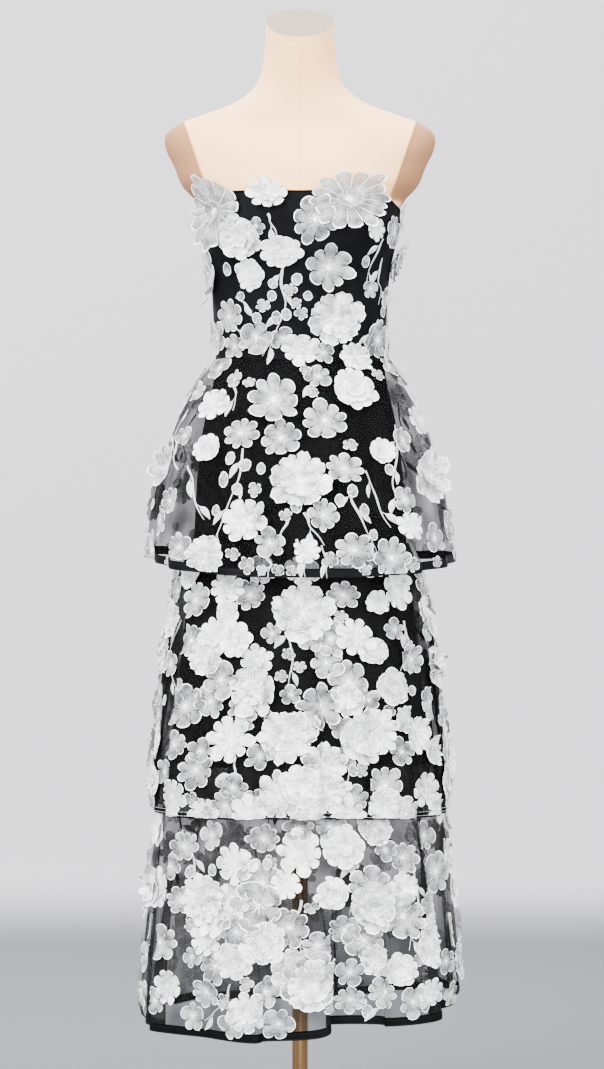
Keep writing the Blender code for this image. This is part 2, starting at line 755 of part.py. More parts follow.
def build_zip():
    """Slider at the top of the centre back seam, and the tab that swings on the slider's pin."""
    width, thickness, length = SLIDER
    heights = np.linspace(ZIP_HEIGHT - length, ZIP_HEIGHT + length, 5)
    back = offset_points(body_surface, np.full(5, 180.0), heights, BODICE_EASE + CLOTH)[:, 1].max()
    seat = back + SEAM_GAP
    face = seat + thickness
    pin = Vector((0, face + PIN_STANDOFF, ZIP_HEIGHT))

    half = width / 2
    low = ZIP_HEIGHT - length / 2
    slider = object_from_bmesh("zip_slider", box((-half, half), (seat, face), (low, low + length)), "zip")
    for side_name, side in (("left", 1), ("right", -1)):
        sides = sorted((side * EAR_INNER, side * EAR_OUTER))
        ear = box(
            sides,
            (face - 0.5, pin.y + EAR_HALF_HEIGHT),
            (ZIP_HEIGHT - EAR_HALF_HEIGHT, ZIP_HEIGHT + EAR_HALF_HEIGHT),
        )
        cut_with(slider, "UNION", hidden(f"ear_{side_name}", ear, (0, 0, 0)))
    cut_with(slider, "UNION", hidden("pin", rod(PIN_RADIUS, EAR_INNER + 0.4), pin))

    tab_edit = bmesh.new()
    outline = [(half_width, depth) for depth, half_width in TAB_OUTLINE]
    outline += [(-half_width, depth) for depth, half_width in reversed(TAB_OUTLINE)]
    near = [tab_edit.verts.new((x, -TAB_HALF_THICKNESS, z)) for x, z in outline]
    far = [tab_edit.verts.new((x, TAB_HALF_THICKNESS, z)) for x, z in outline]
    tab_edit.faces.new(near)
    tab_edit.faces.new(far)
    for index in range(len(outline)):
        following = (index + 1) % len(outline)
        tab_edit.faces.new((near[index], near[following], far[following], far[index]))
    tab = object_from_bmesh("zip_pull", tab_edit, "zip", pin)
    cut_with(tab, "UNION", hidden("eye", rod(EYE_RADIUS, EYE_HALF_WIDTH), pin))
    cut_with(tab, "DIFFERENCE", hidden("eye_hole", rod(EYE_HOLE, EYE_HALF_WIDTH + 1.0), pin))


remove_old_objects()
build_form()
build_stand()
build_bodice()
build_slip()
build_tiers()
build_flowers()
build_zip()
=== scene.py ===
import math

import bmesh
import bpy
import numpy as np
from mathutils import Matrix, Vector


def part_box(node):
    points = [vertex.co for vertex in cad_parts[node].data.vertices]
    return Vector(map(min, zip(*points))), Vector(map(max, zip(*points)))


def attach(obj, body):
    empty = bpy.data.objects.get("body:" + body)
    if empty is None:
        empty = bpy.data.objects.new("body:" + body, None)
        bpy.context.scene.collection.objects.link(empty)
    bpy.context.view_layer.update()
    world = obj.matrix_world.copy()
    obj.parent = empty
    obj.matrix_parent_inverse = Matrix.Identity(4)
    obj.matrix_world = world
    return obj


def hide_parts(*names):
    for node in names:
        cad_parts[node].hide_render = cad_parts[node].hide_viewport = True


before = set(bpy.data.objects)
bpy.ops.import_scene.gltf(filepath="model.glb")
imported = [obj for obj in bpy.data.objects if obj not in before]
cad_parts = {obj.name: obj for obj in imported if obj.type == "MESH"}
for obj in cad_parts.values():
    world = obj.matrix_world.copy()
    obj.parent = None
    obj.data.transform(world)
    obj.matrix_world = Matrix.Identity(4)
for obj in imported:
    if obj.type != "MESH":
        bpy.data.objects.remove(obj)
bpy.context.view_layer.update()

# Studio: a level camera square to the dress's front, a pale floor that sweeps up into a
# wall, and large soft lights. Lengths are millimetres until a mesh or light is made.
MM = 0.001
PHOTO_WIDTH, PHOTO_HEIGHT = 604, 1069
MM_PER_PIXEL = 1.4
EYE = np.array([2.8, -4500.0, 833.0])
SENSOR = 36.0
# Wall colour at the top and at the foot: the lighter foot is painted light, the darker top painted shade
WALL_SHADED_TOP = (0.332, 0.324, 0.336)
WALL_LIT_FOOT = (0.448, 0.436, 0.455)
PALE_FLOOR = (0.112, 0.1135, 0.1255)
# Radius of the turn from floor to wall, and the height in metres over which the wall's painted light fades,
# from a lighter foot to a darker top
SWEEP_BEND = 160.0
WALL_LIGHT_FADE_HEIGHT = 2.2
SWEEP_ROWS, SWEEP_COLUMNS = 61, 9

camera_data = bpy.data.cameras.new("camera")
camera_data.sensor_width = SENSOR
camera_data.lens = SENSOR / (PHOTO_HEIGHT * MM_PER_PIXEL / -EYE[1])
camera_data.clip_end = 50
camera = bpy.data.objects.new("camera", camera_data)
camera.location = EYE * MM
camera.rotation_euler = (math.pi / 2, 0, 0)
bpy.context.collection.objects.link(camera)
bpy.context.scene.camera = camera


def node(tree, kind, wires=None, **settings):
    """Adds a node, sets its properties, and fills its inputs from values or other sockets."""
    made = tree.nodes.new(kind)
    for key, value in settings.items():
        setattr(made, key, value)
    for key, value in (wires or {}).items():
        if isinstance(value, bpy.types.NodeSocket):
            tree.links.new(value, made.inputs[key])
        else:
            made.inputs[key].default_value = value
    return made


def colour_mix(tree, factor, dark, pale):
    """The result of a mix of two colours, each a triple or another node's socket."""
    ends = {
        key: value if isinstance(value, bpy.types.NodeSocket) else (*value, 1)
        for key, value in (("A", dark), ("B", pale))
    }
    return node(tree, "ShaderNodeMix", {"Factor": factor, **ends}, data_type="RGBA").outputs["Result"]


def maths(tree, operation, first, second=0.0):
    return node(tree, "ShaderNodeMath", {0: first, 1: second}, operation=operation).outputs[0]


def ranged(tree, value, low, high, to_low=0.0, to_high=1.0, way="LINEAR"):
    """A value carried from one range to another, and held at its ends."""
    wires = {"Value": value, "From Min": low, "From Max": high, "To Min": to_low, "To Max": to_high}
    return node(tree, "ShaderNodeMapRange", wires, interpolation_type=way).outputs["Result"]


def noise(tree, place, scale, detail):
    """Soft noise at a place."""
    wires = {"Vector": place, "Scale": scale, "Detail": detail}
    return node(tree, "ShaderNodeTexNoise", wires).outputs["Fac"]


def crossed_bands(tree, wires, *ways):
    """The higher of two sets of waves that run in two directions."""
    bands = [node(tree, "ShaderNodeTexWave", wires, bands_direction=way).outputs["Fac"] for way in ways]
    return maths(tree, "MAXIMUM", *bands)


def object_place(tree):
    return node(tree, "ShaderNodeTexCoord").outputs["Object"]


def bumped(tree, shader, height, strength, depth):
    """Turns the shader's normal by a height, whose whole range is a depth in metres."""
    wires = {"Height": height, "Strength": strength, "Distance": depth}
    tree.links.new(node(tree, "ShaderNodeBump", wires).outputs["Normal"], shader.inputs["Normal"])


def new_group(name, inputs, outputs):
    """A node group with its two end nodes; each socket is a name and the kind of value it takes."""
    group = bpy.data.node_groups.new(name, "ShaderNodeTree")
    for way, sockets in (("INPUT", inputs), ("OUTPUT", outputs)):
        for socket_name, kind in sockets:
            group.interface.new_socket(socket_name, in_out=way, socket_type=f"NodeSocket{kind}")
    return group, group.nodes.new("NodeGroupInput"), group.nodes.new("NodeGroupOutput")


def new_material(name, **constants):
    """A material with its Principled shader, whose constant sockets are set here."""
    material = bpy.data.materials.new(name)
    material.use_nodes = True
    shader = material.node_tree.nodes["Principled BSDF"]
    for key, value in constants.items():
        shader.inputs[key.replace("_", " ")].default_value = value
    return material, material.node_tree, shader


def mesh_from(name, points, faces, uv=None, uv_faces=None):
    """A smooth mesh from arrays in millimetres; uv_faces index uv as faces index points."""
    points = np.asarray(points, float).reshape(-1, 3) * MM
    mesh = bpy.data.meshes.new(name)
    mesh.vertices.add(len(points))
    mesh.vertices.foreach_set("co", points.ravel())
    mesh.loops.add(faces.size)
    mesh.loops.foreach_set("vertex_index", faces.ravel().astype(np.int32))
    mesh.polygons.add(len(faces))
    mesh.polygons.foreach_set("loop_start", np.arange(0, faces.size, faces.shape[1], dtype=np.int32))
    if uv is not None:
        corners = np.asarray(uv, float).reshape(-1, 2)[(faces if uv_faces is None else uv_faces).ravel()]
        mesh.uv_layers.new(name="UVMap").data.foreach_set("uv", corners.ravel())
    mesh.update(calc_edges=True)
    mesh.validate()
    mesh.shade_smooth()
    return mesh


def shown(name, mesh, material):
    made = bpy.data.objects.new(name, mesh)
    mesh.materials.append(material)
    bpy.context.collection.objects.link(made)
    return made


def grid_faces(rows, columns, first=0):
    """Quads of a grid of points, counter-clockwise where columns run right and rows run up."""
    corner = first + (np.arange(rows - 1)[:, None] * columns + np.arange(columns - 1)).ravel()
    return np.stack([corner, corner + 1, corner + columns + 1, corner + columns], axis=1)


def ring_faces(rows, columns, wide=None, turned_over=False):
    """Quads of a grid closed round, counted on a grid of as many columns unless wide says otherwise."""
    wide = columns if wide is None else wide
    row, column = np.arange(rows - 1)[:, None], np.arange(columns)[None, :]
    low, high, following = row * wide, (row + 1) * wide, (column + 1) % wide
    quads = np.stack([low + column, low + following, high + following, high + column], axis=-1).reshape(-1, 4)
    return quads[:, ::-1] if turned_over else quads


def spread(*parts):
    """Arrays that broadcast together, as one whose last axis runs over them."""
    return np.stack(np.broadcast_arrays(*parts), axis=-1)


def joined(parts):
    """Several sets of points, faces, UV and UV faces, or the first few of these, as one set."""
    columns = list(zip(*parts))
    whole = [np.concatenate(column) for column in columns]
    for column in range(1, len(columns), 2):
        offsets = np.cumsum([0] + [len(points) for points in columns[column - 1][:-1]])
        whole[column] = np.concatenate([faces + offset for faces, offset in zip(columns[column], offsets)])
    return whole


def sweep_profile(share):
    """Floor that runs back, turns up in a quarter circle and rises as a wall."""
    back, bend, front, top = 2180.0, SWEEP_BEND, -7000.0, 5000.0
    turn = (np.clip(share, 0.4, 0.6) - 0.4) / 0.2 * math.pi / 2
    floor_run = np.clip(share / 0.4, 0, 1)
    wall_rise = np.clip((share - 0.6) / 0.4, 0, 1)
    y = front + floor_run * (back - bend - front) + bend * np.sin(turn)
    z = bend * (1 - np.cos(turn)) + wall_rise * (top - bend)
    return y, z


wide = np.linspace(-6000, 6000, SWEEP_COLUMNS)
y_run, z_run = sweep_profile(np.linspace(0, 1, SWEEP_ROWS))
sweep_points = spread(wide[None, :], y_run[:, None], z_run[:, None])
sweep_material, sweep_tree, sweep_shader = new_material("studio_paper", Roughness=0.9, Specular_IOR_Level=0.1)
sweep_height = node(sweep_tree, "ShaderNodeSeparateXYZ", {0: object_place(sweep_tree)}).outputs["Z"]
wall_share = ranged(sweep_tree, sweep_height, 0.0, SWEEP_BEND * MM, way="SMOOTHSTEP")
# Painted light: the wall's colour runs from lighter at its foot to darker higher up
wall_tone_and_painted_light = colour_mix(sweep_tree, ranged(sweep_tree, sweep_height, 0.0, WALL_LIGHT_FADE_HEIGHT), WALL_LIT_FOOT, WALL_SHADED_TOP)
sweep_colour = colour_mix(sweep_tree, wall_share, PALE_FLOOR, wall_tone_and_painted_light)
sweep_tree.links.new(sweep_colour, sweep_shader.inputs["Base Color"])
# The paper is clear from behind, so that a view of the back looks through it
sweep_rear = node(sweep_tree, "ShaderNodeNewGeometry").outputs["Backfacing"]
sweep_tree.links.new(maths(sweep_tree, "SUBTRACT", 1.0, sweep_rear), sweep_shader.inputs["Alpha"])
sweep_mesh = mesh_from("studio_sweep", sweep_points, grid_faces(SWEEP_ROWS, SWEEP_COLUMNS))
shown("studio_sweep", sweep_mesh, sweep_material)

# Place that every light faces, in metres
DRESS_MIDDLE = Vector((0, 0, 0.85))
# Each light: place, size in metres, power
LIGHTS = {
    "key_light": ((-2.4, -3.2, 3.1), 2.0, 580),
    "fill_light": ((2.9, -3.2, 1.9), 2.4, 256),
    "low_light": ((0.3, -3.8, 0.5), 2.0, 108),
    "wall_light": ((0.0, 0.2, 3.7), 3.0, 350),
    "rear_light": ((-1.6, 1.9, 2.2), 1.4, 90),
}
for light_name, (light_place, light_size, light_power) in LIGHTS.items():
    light_data = bpy.data.lights.new(light_name, "AREA")
    light_data.size = light_size
    light_data.energy = light_power
    light = bpy.data.objects.new(light_name, light_data)
    light.location = light_place
    light.rotation_euler = (DRESS_MIDDLE - Vector(light_place)).to_track_quat("-Z", "Y").to_euler()
    bpy.context.collection.objects.link(light)
world = bpy.data.worlds.new("studio_air")
world.use_nodes = True
air = world.node_tree.nodes["Background"]
air.inputs["Color"].default_value = (0.95, 0.97, 1.0, 1)
air.inputs["Strength"].default_value = 3.1
bpy.context.scene.world = world

# Dress form: padded torso under cream stretch cloth, cut off at the neck and at both
# arms. Its level sections are superellipses read smoothly from a short table.
BODY = "dress_on_form"

# Height, half width, depth in front, depth behind, squareness
FORM_SECTIONS = (
    (800, 138.0, 98, 112, 2.3),
    (845, 142.0, 101, 118, 2.3),
    (900, 141.0, 101, 120, 2.25),
    (950, 137.0, 100, 113, 2.2),
    (1000, 129.0, 97, 101, 2.2),
    (1040, 120.0, 90, 91, 2.2),
    (1077, 115.5, 84, 84, 2.2),
    (1105, 116.5, 86, 85, 2.2),
    (1140, 119.0, 90, 89, 2.2),
    (1175, 121.0, 93, 93, 2.2),
    (1205, 124.5, 97, 97, 2.2),
    (1235, 131.0, 103, 101, 2.2),
    (1265, 137.5, 108, 104, 2.2),
    (1285, 138.5, 109, 105, 2.2),
    (1300, 146.0, 108, 104, 2.25),
    (1318, 163.0, 104, 102, 2.3),
    (1347, 176.0, 93, 96, 2.3),
    (1378, 189.0, 76, 86, 2.3),
    (1392, 188.0, 68, 80, 2.25),
    (1402, 178.0, 63, 76, 2.2),
    (1412, 158.0, 60, 72, 2.15),
    (1422, 128.0, 58, 69, 2.1),
    (1432, 101.0, 56, 66, 2.05),
    (1446, 77.0, 55, 61, 2.0),
    (1462, 61.0, 55, 57, 2.0),
    (1485, 53.0, 57, 52, 2.0),
    (1518, 49.0, 61, 48, 2.0),
    (1600, 48.0, 70, 39, 2.0),
)
BUST_ANGLE, BUST_HEIGHT, BUST_FULLNESS, BUST_SPREAD, BUST_RISE = 36.0, 1254.0, 9.0, 21.0, 46.0
NECK_CUT = Vector((0.0, -11.0, 1533.5))
NECK_TILT = math.radians(28.0)
CAP_HEIGHT = 12.0
SEAM_GAP = 0.3
PLATE_FOOT_X, PLATE_FOOT_Z, PLATE_SLANT = 124.0, 1297.0, 0.346
FORM_COLUMNS, FORM_RINGS = 128, 120
FORM_SHARP = math.radians(40)


def smooth(table, at, column):
    """A table's column by cubic Hermite curves whose slopes come from neighbouring rows."""
    keys = np.array([row[0] for row in table], float)
    values = np.array([row[column] for row in table], float)
    slopes = np.gradient(values, keys)
    at = np.clip(np.asarray(at, float), keys[0], keys[-1])
    left = np.clip(np.searchsorted(keys, at, side="right") - 1, 0, len(keys) - 2)
    width = keys[left + 1] - keys[left]
    part = (at - keys[left]) / width
    start = values[left] * (1 + 2 * part) * (1 - part) ** 2
    end = values[left + 1] * part**2 * (3 - 2 * part)
    lean_start = slopes[left] * width * part * (1 - part) ** 2
    lean_end = slopes[left + 1] * width * part**2 * (part - 1)
    return start + end + lean_start + lean_end


def section_points(angle, width, front, back, squareness, height):
    """x = width sin^p, y = -depth cos^p, p = 2 / squareness, the depth differing front and back."""
    turn = np.radians(angle)
    across, ahead = np.sin(turn), np.cos(turn)
    power = 2.0 / squareness
    depth = np.where(ahead > 0, front, back)
    x = width * np.sign(across) * np.abs(across) ** power
    y = -depth * np.sign(ahead) * np.abs(ahead) ** power
    return spread(x, y, height)


def wrapped(angle):
    return (np.asarray(angle, float) + 180.0) % 360.0 - 180.0


def outward(angle):
    """Level unit vectors at angles from the centre front towards +X."""
    turn = np.radians(angle)
    return spread(np.sin(turn), -np.cos(turn), 0.0 * turn)


def body_surface(angle, height):
    """The sections, plus a bell of fullness centred on each side of the bust."""
    width, front, back, squareness = (smooth(FORM_SECTIONS, height, column) for column in (1, 2, 3, 4))
    off_centre = (np.abs(wrapped(angle)) - BUST_ANGLE) / BUST_SPREAD
    fullness = BUST_FULLNESS * np.exp(-(off_centre**2) - ((height - BUST_HEIGHT) / BUST_RISE) ** 2)
    points = section_points(angle, width, front, back, squareness, height)
    return points + fullness[..., None] * outward(angle)


def form_loft():
    """A closed bmesh through fine rings of the body surface, flat at both ends."""
    heights = np.linspace(FORM_SECTIONS[0][0], FORM_SECTIONS[-1][0], FORM_RINGS)
    angle, height = np.meshgrid(np.arange(FORM_COLUMNS) * 360.0 / FORM_COLUMNS, heights)
    edit = bmesh.new()
    rings = [[edit.verts.new(point) for point in ring] for ring in body_surface(angle, height).tolist()]
    for low, high in zip(rings, rings[1:]):
        for index in range(FORM_COLUMNS):
            following = (index + 1) % FORM_COLUMNS
            edit.faces.new((low[index], low[following], high[following], high[index]))
    edit.faces.new(rings[0])
    edit.faces.new(rings[-1])
    bmesh.ops.recalc_face_normals(edit, faces=edit.faces)
    return edit


def trim(edit, point, normal):
    """Cuts away what lies beyond a plane and closes the cut with one face."""
    everything = list(edit.verts) + list(edit.edges) + list(edit.faces)
    cut = bmesh.ops.bisect_plane(
        edit, geom=everything, dist=0.0001, plane_co=point, plane_no=normal, clear_outer=True
    )
    rim = [item for item in cut["geom_cut"] if isinstance(item, bmesh.types.BMEdge)]
    bmesh.ops.contextual_create(edit, geom=rim)


def from_edit(name, edit, material):
    """A piece from a bmesh in millimetres, which is used up."""
    bmesh.ops.scale(edit, vec=(MM, MM, MM), verts=edit.verts)
    mesh = bpy.data.meshes.new(name)
    edit.to_mesh(mesh)
    edit.free()
    mesh.shade_smooth()
    mesh.set_sharp_from_angle(angle=FORM_SHARP)
    return shown(name, mesh, material)


def plate_wedge(side, gap):
    """Everything outside the arm's slanted cut and above the underarm."""
    foot, floor, outer, top, reach = PLATE_FOOT_X + gap * 1.1, PLATE_FOOT_Z + gap, 300.0, 1460.0, 200.0
    crest = foot + (top - floor) * PLATE_SLANT
    corners = ((foot, floor), (outer, floor), (outer, top), (crest, top))
    edit = bmesh.new()
    ends = []
    for y in (-reach, reach):
        ends.append([edit.verts.new((side * x, y, z)) for x, z in corners])
        edit.faces.new(ends[-1])
    for index in range(4):
        following = (index + 1) % 4
        edit.faces.new((ends[0][index], ends[0][following], ends[1][following], ends[1][index]))
    bmesh.ops.recalc_face_normals(edit, faces=edit.faces)
    return from_edit("wedge", edit, cover)


def carve(target, operation, tool):
    """Applies one exact Boolean to a piece and throws its tool away."""
    change = target.modifiers.new(operation.lower(), "BOOLEAN")
    change.operation = operation
    change.object = tool
    bpy.context.view_layer.update()
    finished = bpy.data.meshes.new_from_object(target.evaluated_get(bpy.context.evaluated_depsgraph_get()))
    target.modifiers.clear()
    target.data = finished
    finished.set_sharp_from_angle(angle=FORM_SHARP)
    bpy.data.objects.remove(tool, do_unlink=True)


def knit_group():
    """Fine knit: two crossed bands over slow patches, as a height and a slow mask."""
    outputs = (("Height", "Float"), ("Patches", "Float"))
    group, entry, leave = new_group("fine_knit", (("Vector", "Vector"), ("Scale", "Float")), outputs)
    vector = entry.outputs["Vector"]
    wires = {"Vector": vector, "Scale": entry.outputs["Scale"], "Distortion": 0.6}
    bands = crossed_bands(group, wires, "X", "Z")
    group.links.new(bands, leave.inputs["Height"])
    group.links.new(noise(group, vector, 9.0, 4.0), leave.inputs["Patches"])
    return group


fine_knit = knit_group()


def knitted_cloth(name, dark, pale, scale, depth, **constants):
    """Cloth with a fine knit bump and slow patches between two near colours."""
    material, tree, shader = new_material(name, **constants)
    knit = node(tree, "ShaderNodeGroup", node_tree=fine_knit)
    tree.links.new(object_place(tree), knit.inputs["Vector"])
    knit.inputs["Scale"].default_value = scale
    tree.links.new(colour_mix(tree, knit.outputs["Patches"], dark, pale), shader.inputs["Base Color"])
    bumped(tree, shader, knit.outputs["Height"], 0.35, depth)
    return material


PADDED = {"scale": 220, "depth": 0.0004, "Roughness": 0.85, "Specular_IOR_Level": 0.2}
cover = knitted_cloth("cream_cover", (0.78, 0.435, 0.208), (0.88, 0.515, 0.258), **PADDED)
# Arm plates: a browner cloth than the cover, made darker still as painted shade on the form's sides
plate_tone_and_shade = knitted_cloth("plate_tone_and_shade", (0.233, 0.107, 0.049), (0.293, 0.143, 0.070), **PADDED)
cap_cloth = knitted_cloth(
    "grey_cap", (0.168, 0.130, 0.089), (0.203, 0.160, 0.110), scale=220, depth=0.0003, Roughness=0.8
)

tilt = Vector((0, -math.sin(NECK_TILT), math.cos(NECK_TILT)))
torso_edit = form_loft()
trim(torso_edit, NECK_CUT, tilt)
torso = from_edit("torso", torso_edit, cover)
for side_name, side in (("left", 1), ("right", -1)):
    carve(torso, "DIFFERENCE", plate_wedge(side, 0.0))
    plate_edit = form_loft()
    trim(plate_edit, NECK_CUT, tilt)
    plate = from_edit(f"arm_plate_{side_name}", plate_edit, plate_tone_and_shade)
    carve(plate, "INTERSECT", plate_wedge(side, SEAM_GAP))
    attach(plate, BODY)
    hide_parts(f"form_arm_plate_{side_name}")
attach(torso, BODY)
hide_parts("form_torso")

cap_edit = form_loft()
trim(cap_edit, NECK_CUT + tilt * CAP_HEIGHT, tilt)
trim(cap_edit, NECK_CUT + tilt * SEAM_GAP, -tilt)
for face in cap_edit.faces:
    face.material_index = int(face.normal.dot(tilt) > 0.9)
cap = from_edit("neck_cap", cap_edit, cover)
cap.data.materials.append(cap_cloth)
edge = cap.modifiers.new("soft_edge", "BEVEL")
edge.width, edge.segments, edge.limit_method = 0.0015, 3, "ANGLE"
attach(cap, BODY)
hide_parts("form_neck_cap")

# Piping and seams of the form: a corded edge round each arm plate and under the neck cap,
# and a stitched line down the middle of the chest and the back.
PIPING_RADIUS = 1.3
SEAM_LINE_RADIUS = 0.55
OUTLINE_POINTS, NECK_POINTS, SEAM_POINTS = 60, 96, 60


def tube(path, radius, sides, closed):
    """Rings of a circle carried along a path, square to it; closed joins the last ring to the first."""
    path = np.asarray(path, float)
    ahead = np.roll(path, -1, axis=0) - np.roll(path, 1, axis=0) if closed else np.gradient(path, axis=0)
    ahead /= np.linalg.norm(ahead, axis=1, keepdims=True)
    level = path - path.mean(axis=0)
    level = level - np.sum(level * ahead, axis=1, keepdims=True) * ahead + 1e-9
    level /= np.linalg.norm(level, axis=1, keepdims=True)
    other = np.cross(ahead, level)
    turn = np.arange(sides) * 2 * math.pi / sides
    ring = level[:, None] * np.cos(turn)[None, :, None] + other[:, None] * np.sin(turn)[None, :, None]
    points = path[:, None] + ring * np.asarray(radius, float).reshape(-1, 1, 1)
    count = len(path)
    return points.reshape(-1, 3), ring_faces(count + closed, sides) % (count * sides)


def plate_outline(side):
    """Where the slanted cut meets the body: up the front, down the back, round under the arm."""
    heights = np.linspace(PLATE_FOOT_Z, 1411.0, OUTLINE_POINTS)
    wanted = PLATE_FOOT_X + (heights - PLATE_FOOT_Z) * PLATE_SLANT
    branches = []
    for inner, outer in ((0.0, 90.0), (180.0, 90.0)):
        low, high = np.full(OUTLINE_POINTS, inner), np.full(OUTLINE_POINTS, outer)
        for _ in range(30):
            middle = (low + high) / 2
            inside = body_surface(middle, heights)[:, 0] < wanted
            low, high = np.where(inside, middle, low), np.where(inside, high, middle)
        branches.append(middle)
    meets = np.abs(body_surface(branches[0], heights)[:, 0] - wanted) < 0.5
    up, down = body_surface(branches[0], heights)[meets], body_surface(branches[1], heights)[meets][::-1]
    under = np.linspace(branches[1][0], branches[0][0], 40)[1:-1]
    loop = np.concatenate([up, down, body_surface(under, np.full(len(under), PLATE_FOOT_Z))])
    return loop * (side, 1, 1)


piping_cloth = knitted_cloth(
    "peach_piping", (0.38, 0.155, 0.058), (0.46, 0.20, 0.078), scale=260, depth=0.0003, Roughness=0.75
)
piping_parts = [tube(plate_outline(side), PIPING_RADIUS, 8, True) for side in (1, -1)]
neck_turn = np.arange(NECK_POINTS) * 360.0 / NECK_POINTS
neck_height = np.full(NECK_POINTS, NECK_CUT.z)
for _ in range(12):
    neck_height = NECK_CUT.z + (body_surface(neck_turn, neck_height)[:, 1] - NECK_CUT.y) * math.tan(NECK_TILT)
neck_loop = body_surface(neck_turn, neck_height)
seam_heights = np.linspace(1292.0, 1512.0, SEAM_POINTS)
piping = shown("arm_piping", mesh_from("arm_piping", *joined(piping_parts)), piping_cloth)
seams = [tube(neck_loop, SEAM_LINE_RADIUS, 6, True)]
for centre_angle in (0.0, 180.0):
    turns = np.full(SEAM_POINTS, centre_angle)
    line = body_surface(turns, seam_heights) + 0.1 * outward(turns)
    seams.append(tube(line, SEAM_LINE_RADIUS, 6, False))
form_seams = shown("form_seams", mesh_from("form_seams", *joined(seams)), cover)
for trim_piece in (piping, form_seams):
    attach(trim_piece, BODY)

# Stand: a polished brass tube that rises from a turned round base into the form.
POLE_RADIUS = 11.0
BASE_PROFILE = (
    (0, 0.0), (159, 0.0), (160, 1.0), (160, 5.0), (157, 8.5), (150, 10.4), (90, 15.0), (34, 18.6), (26, 21),
    (23, 25), (21.5, 29), (20, 30), (0, 30),
)


def turned(profile, sides):
    """A profile of (radius, height) turned about Z; poles keep a hair's radius so that they close."""
    radius, height = np.transpose(np.array(profile, float))
    radius = np.maximum(radius, 0.02)
    turn = np.arange(sides) * 2 * math.pi / sides
    x, y = radius[:, None] * np.cos(turn), radius[:, None] * np.sin(turn)
    points = spread(x, y, height[:, None])
    return points.reshape(-1, 3), ring_faces(*points.shape[:2])


def metal(name, dark, pale, roughness, streak):
    """Metal whose colour and roughness drift in soft streaks along the height."""
    material, tree, shader = new_material(name, Metallic=1.0)
    stretched = node(tree, "ShaderNodeMapping", {"Vector": object_place(tree), "Scale": streak})
    drift = noise(tree, stretched.outputs[0], 6.0, 6.0)
    rough = ranged(tree, drift, 0.0, 1.0, roughness * 0.8, roughness * 1.3)
    tree.links.new(colour_mix(tree, drift, dark, pale), shader.inputs["Base Color"])
    tree.links.new(rough, shader.inputs["Roughness"])
    return material


brass = metal("polished_brass", (0.20, 0.115, 0.045), (0.34, 0.205, 0.09), 0.22, (30, 30, 2))
base_brass = metal("satin_brass", (0.16, 0.096, 0.04), (0.22, 0.136, 0.064), 0.4, (3, 3, 3))
pole_foot, pole_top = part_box("stand_pole")[0][2] / MM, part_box("stand_pole")[1][2] / MM
pole_profile = ((0, pole_foot), (POLE_RADIUS, pole_foot), (POLE_RADIUS, pole_top), (0, pole_top))
for stand_name, profile, finish, cad_node, slot_name in (
    ("pole", pole_profile, brass, "stand_pole", "brass"),
    ("round_base", BASE_PROFILE, base_brass, "stand_base", "base"),
):
    stand_piece = shown(stand_name, mesh_from(stand_name, *turned(profile, 96)), finish)
    edit = bmesh.new()
    edit.from_mesh(stand_piece.data)
    bmesh.ops.remove_doubles(edit, verts=edit.verts, dist=0.00005)
    bmesh.ops.recalc_face_normals(edit, faces=edit.faces)
    edit.to_mesh(stand_piece.data)
    edit.free()
    stand_piece.data.set_sharp_from_angle(angle=math.radians(35))
    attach(stand_piece, BODY)
    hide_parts(cad_node)

# Bodice: five panels of black net over black lining, seamed at the princess lines, the
# sides and the centre back, and stretched over the form.
CLOTH = 1.2
WAIST = 1077.0
BODICE_EASE = 1.4
BODICE_TOP = ((0, 1303), (24, 1304), (42, 1303), (54, 1298), (66, 1291), (90, 1285), (180, 1288))
PRINCESS_SEAM = 45.0
SEAM_DIP, SEAM_DIP_WIDTH = 0.5, 1.3


def offset_points(surface, angle, level, distance, step=0.4, rise=None, points=None):
    """Points, the surface's own unless given, moved out along the cross of the surface's two slopes."""
    if rise is None:
        rise = 1.0 if np.max(np.abs(level)) > 2 else 0.004
    round_way = surface(angle + step, level) - surface(angle - step, level)
    level_way = surface(angle, level + rise) - surface(angle, level - rise)
    normal = np.cross(round_way, level_way)
    normal /= np.linalg.norm(normal, axis=-1, keepdims=True)
    points = surface(angle, level) if points is None else points
    side = np.sign(np.median(np.sum(normal * points * (1, 1, 0), axis=-1)))
    return points + normal * side * np.asarray(distance, float)[..., None]


def bodice_surface(angle, share):
    """The body's surface between the waist seam and the bodice's top edge."""
    top = smooth(BODICE_TOP, np.abs(wrapped(angle)), 1)
    waist = WAIST + SEAM_GAP / 2
    return body_surface(angle, waist + share * (top - waist))


def shell(name, inner, outer, material, uv):
    """A closed thin shell: two grids of points, joined along all four edges."""
    rows, columns = outer.shape[:2]
    count = rows * columns
    index = np.arange(count).reshape(rows, columns)
    near, far = index, index + count
    rims = []
    for inside, outside in (
        (near[0, ::-1], far[0, ::-1]),
        (near[-1], far[-1]),
        (near[:, 0], far[:, 0]),
        (near[::-1, -1], far[::-1, -1]),
    ):
        rims.append(np.stack([inside[:-1], inside[1:], outside[1:], outside[:-1]], axis=1))
    faces = np.concatenate([grid_faces(rows, columns)[:, ::-1], grid_faces(rows, columns, count), *rims])
    if np.cross(outer[0, 1] - outer[0, 0], outer[1, 0] - outer[0, 0]) @ (outer[0, 0] - inner[0, 0]) < 0:
        faces = faces[:, ::-1]
    points = np.concatenate([inner.reshape(-1, 3), outer.reshape(-1, 3)])
    return shown(name, mesh_from(name, points, faces, np.concatenate([uv.reshape(-1, 2)] * 2)), material)


def run_uv(grid):
    """UV in metres: the run along the middle row, and the height up each column."""
    middle = grid[len(grid) // 2]
    across = np.concatenate([[0], np.cumsum(np.linalg.norm(np.diff(middle, axis=0), axis=1))])
    up = np.concatenate(
        [np.zeros((1, grid.shape[1])), np.cumsum(np.linalg.norm(np.diff(grid, axis=0), axis=2), axis=0)]
    )
    return spread(across[None, :], up) * MM


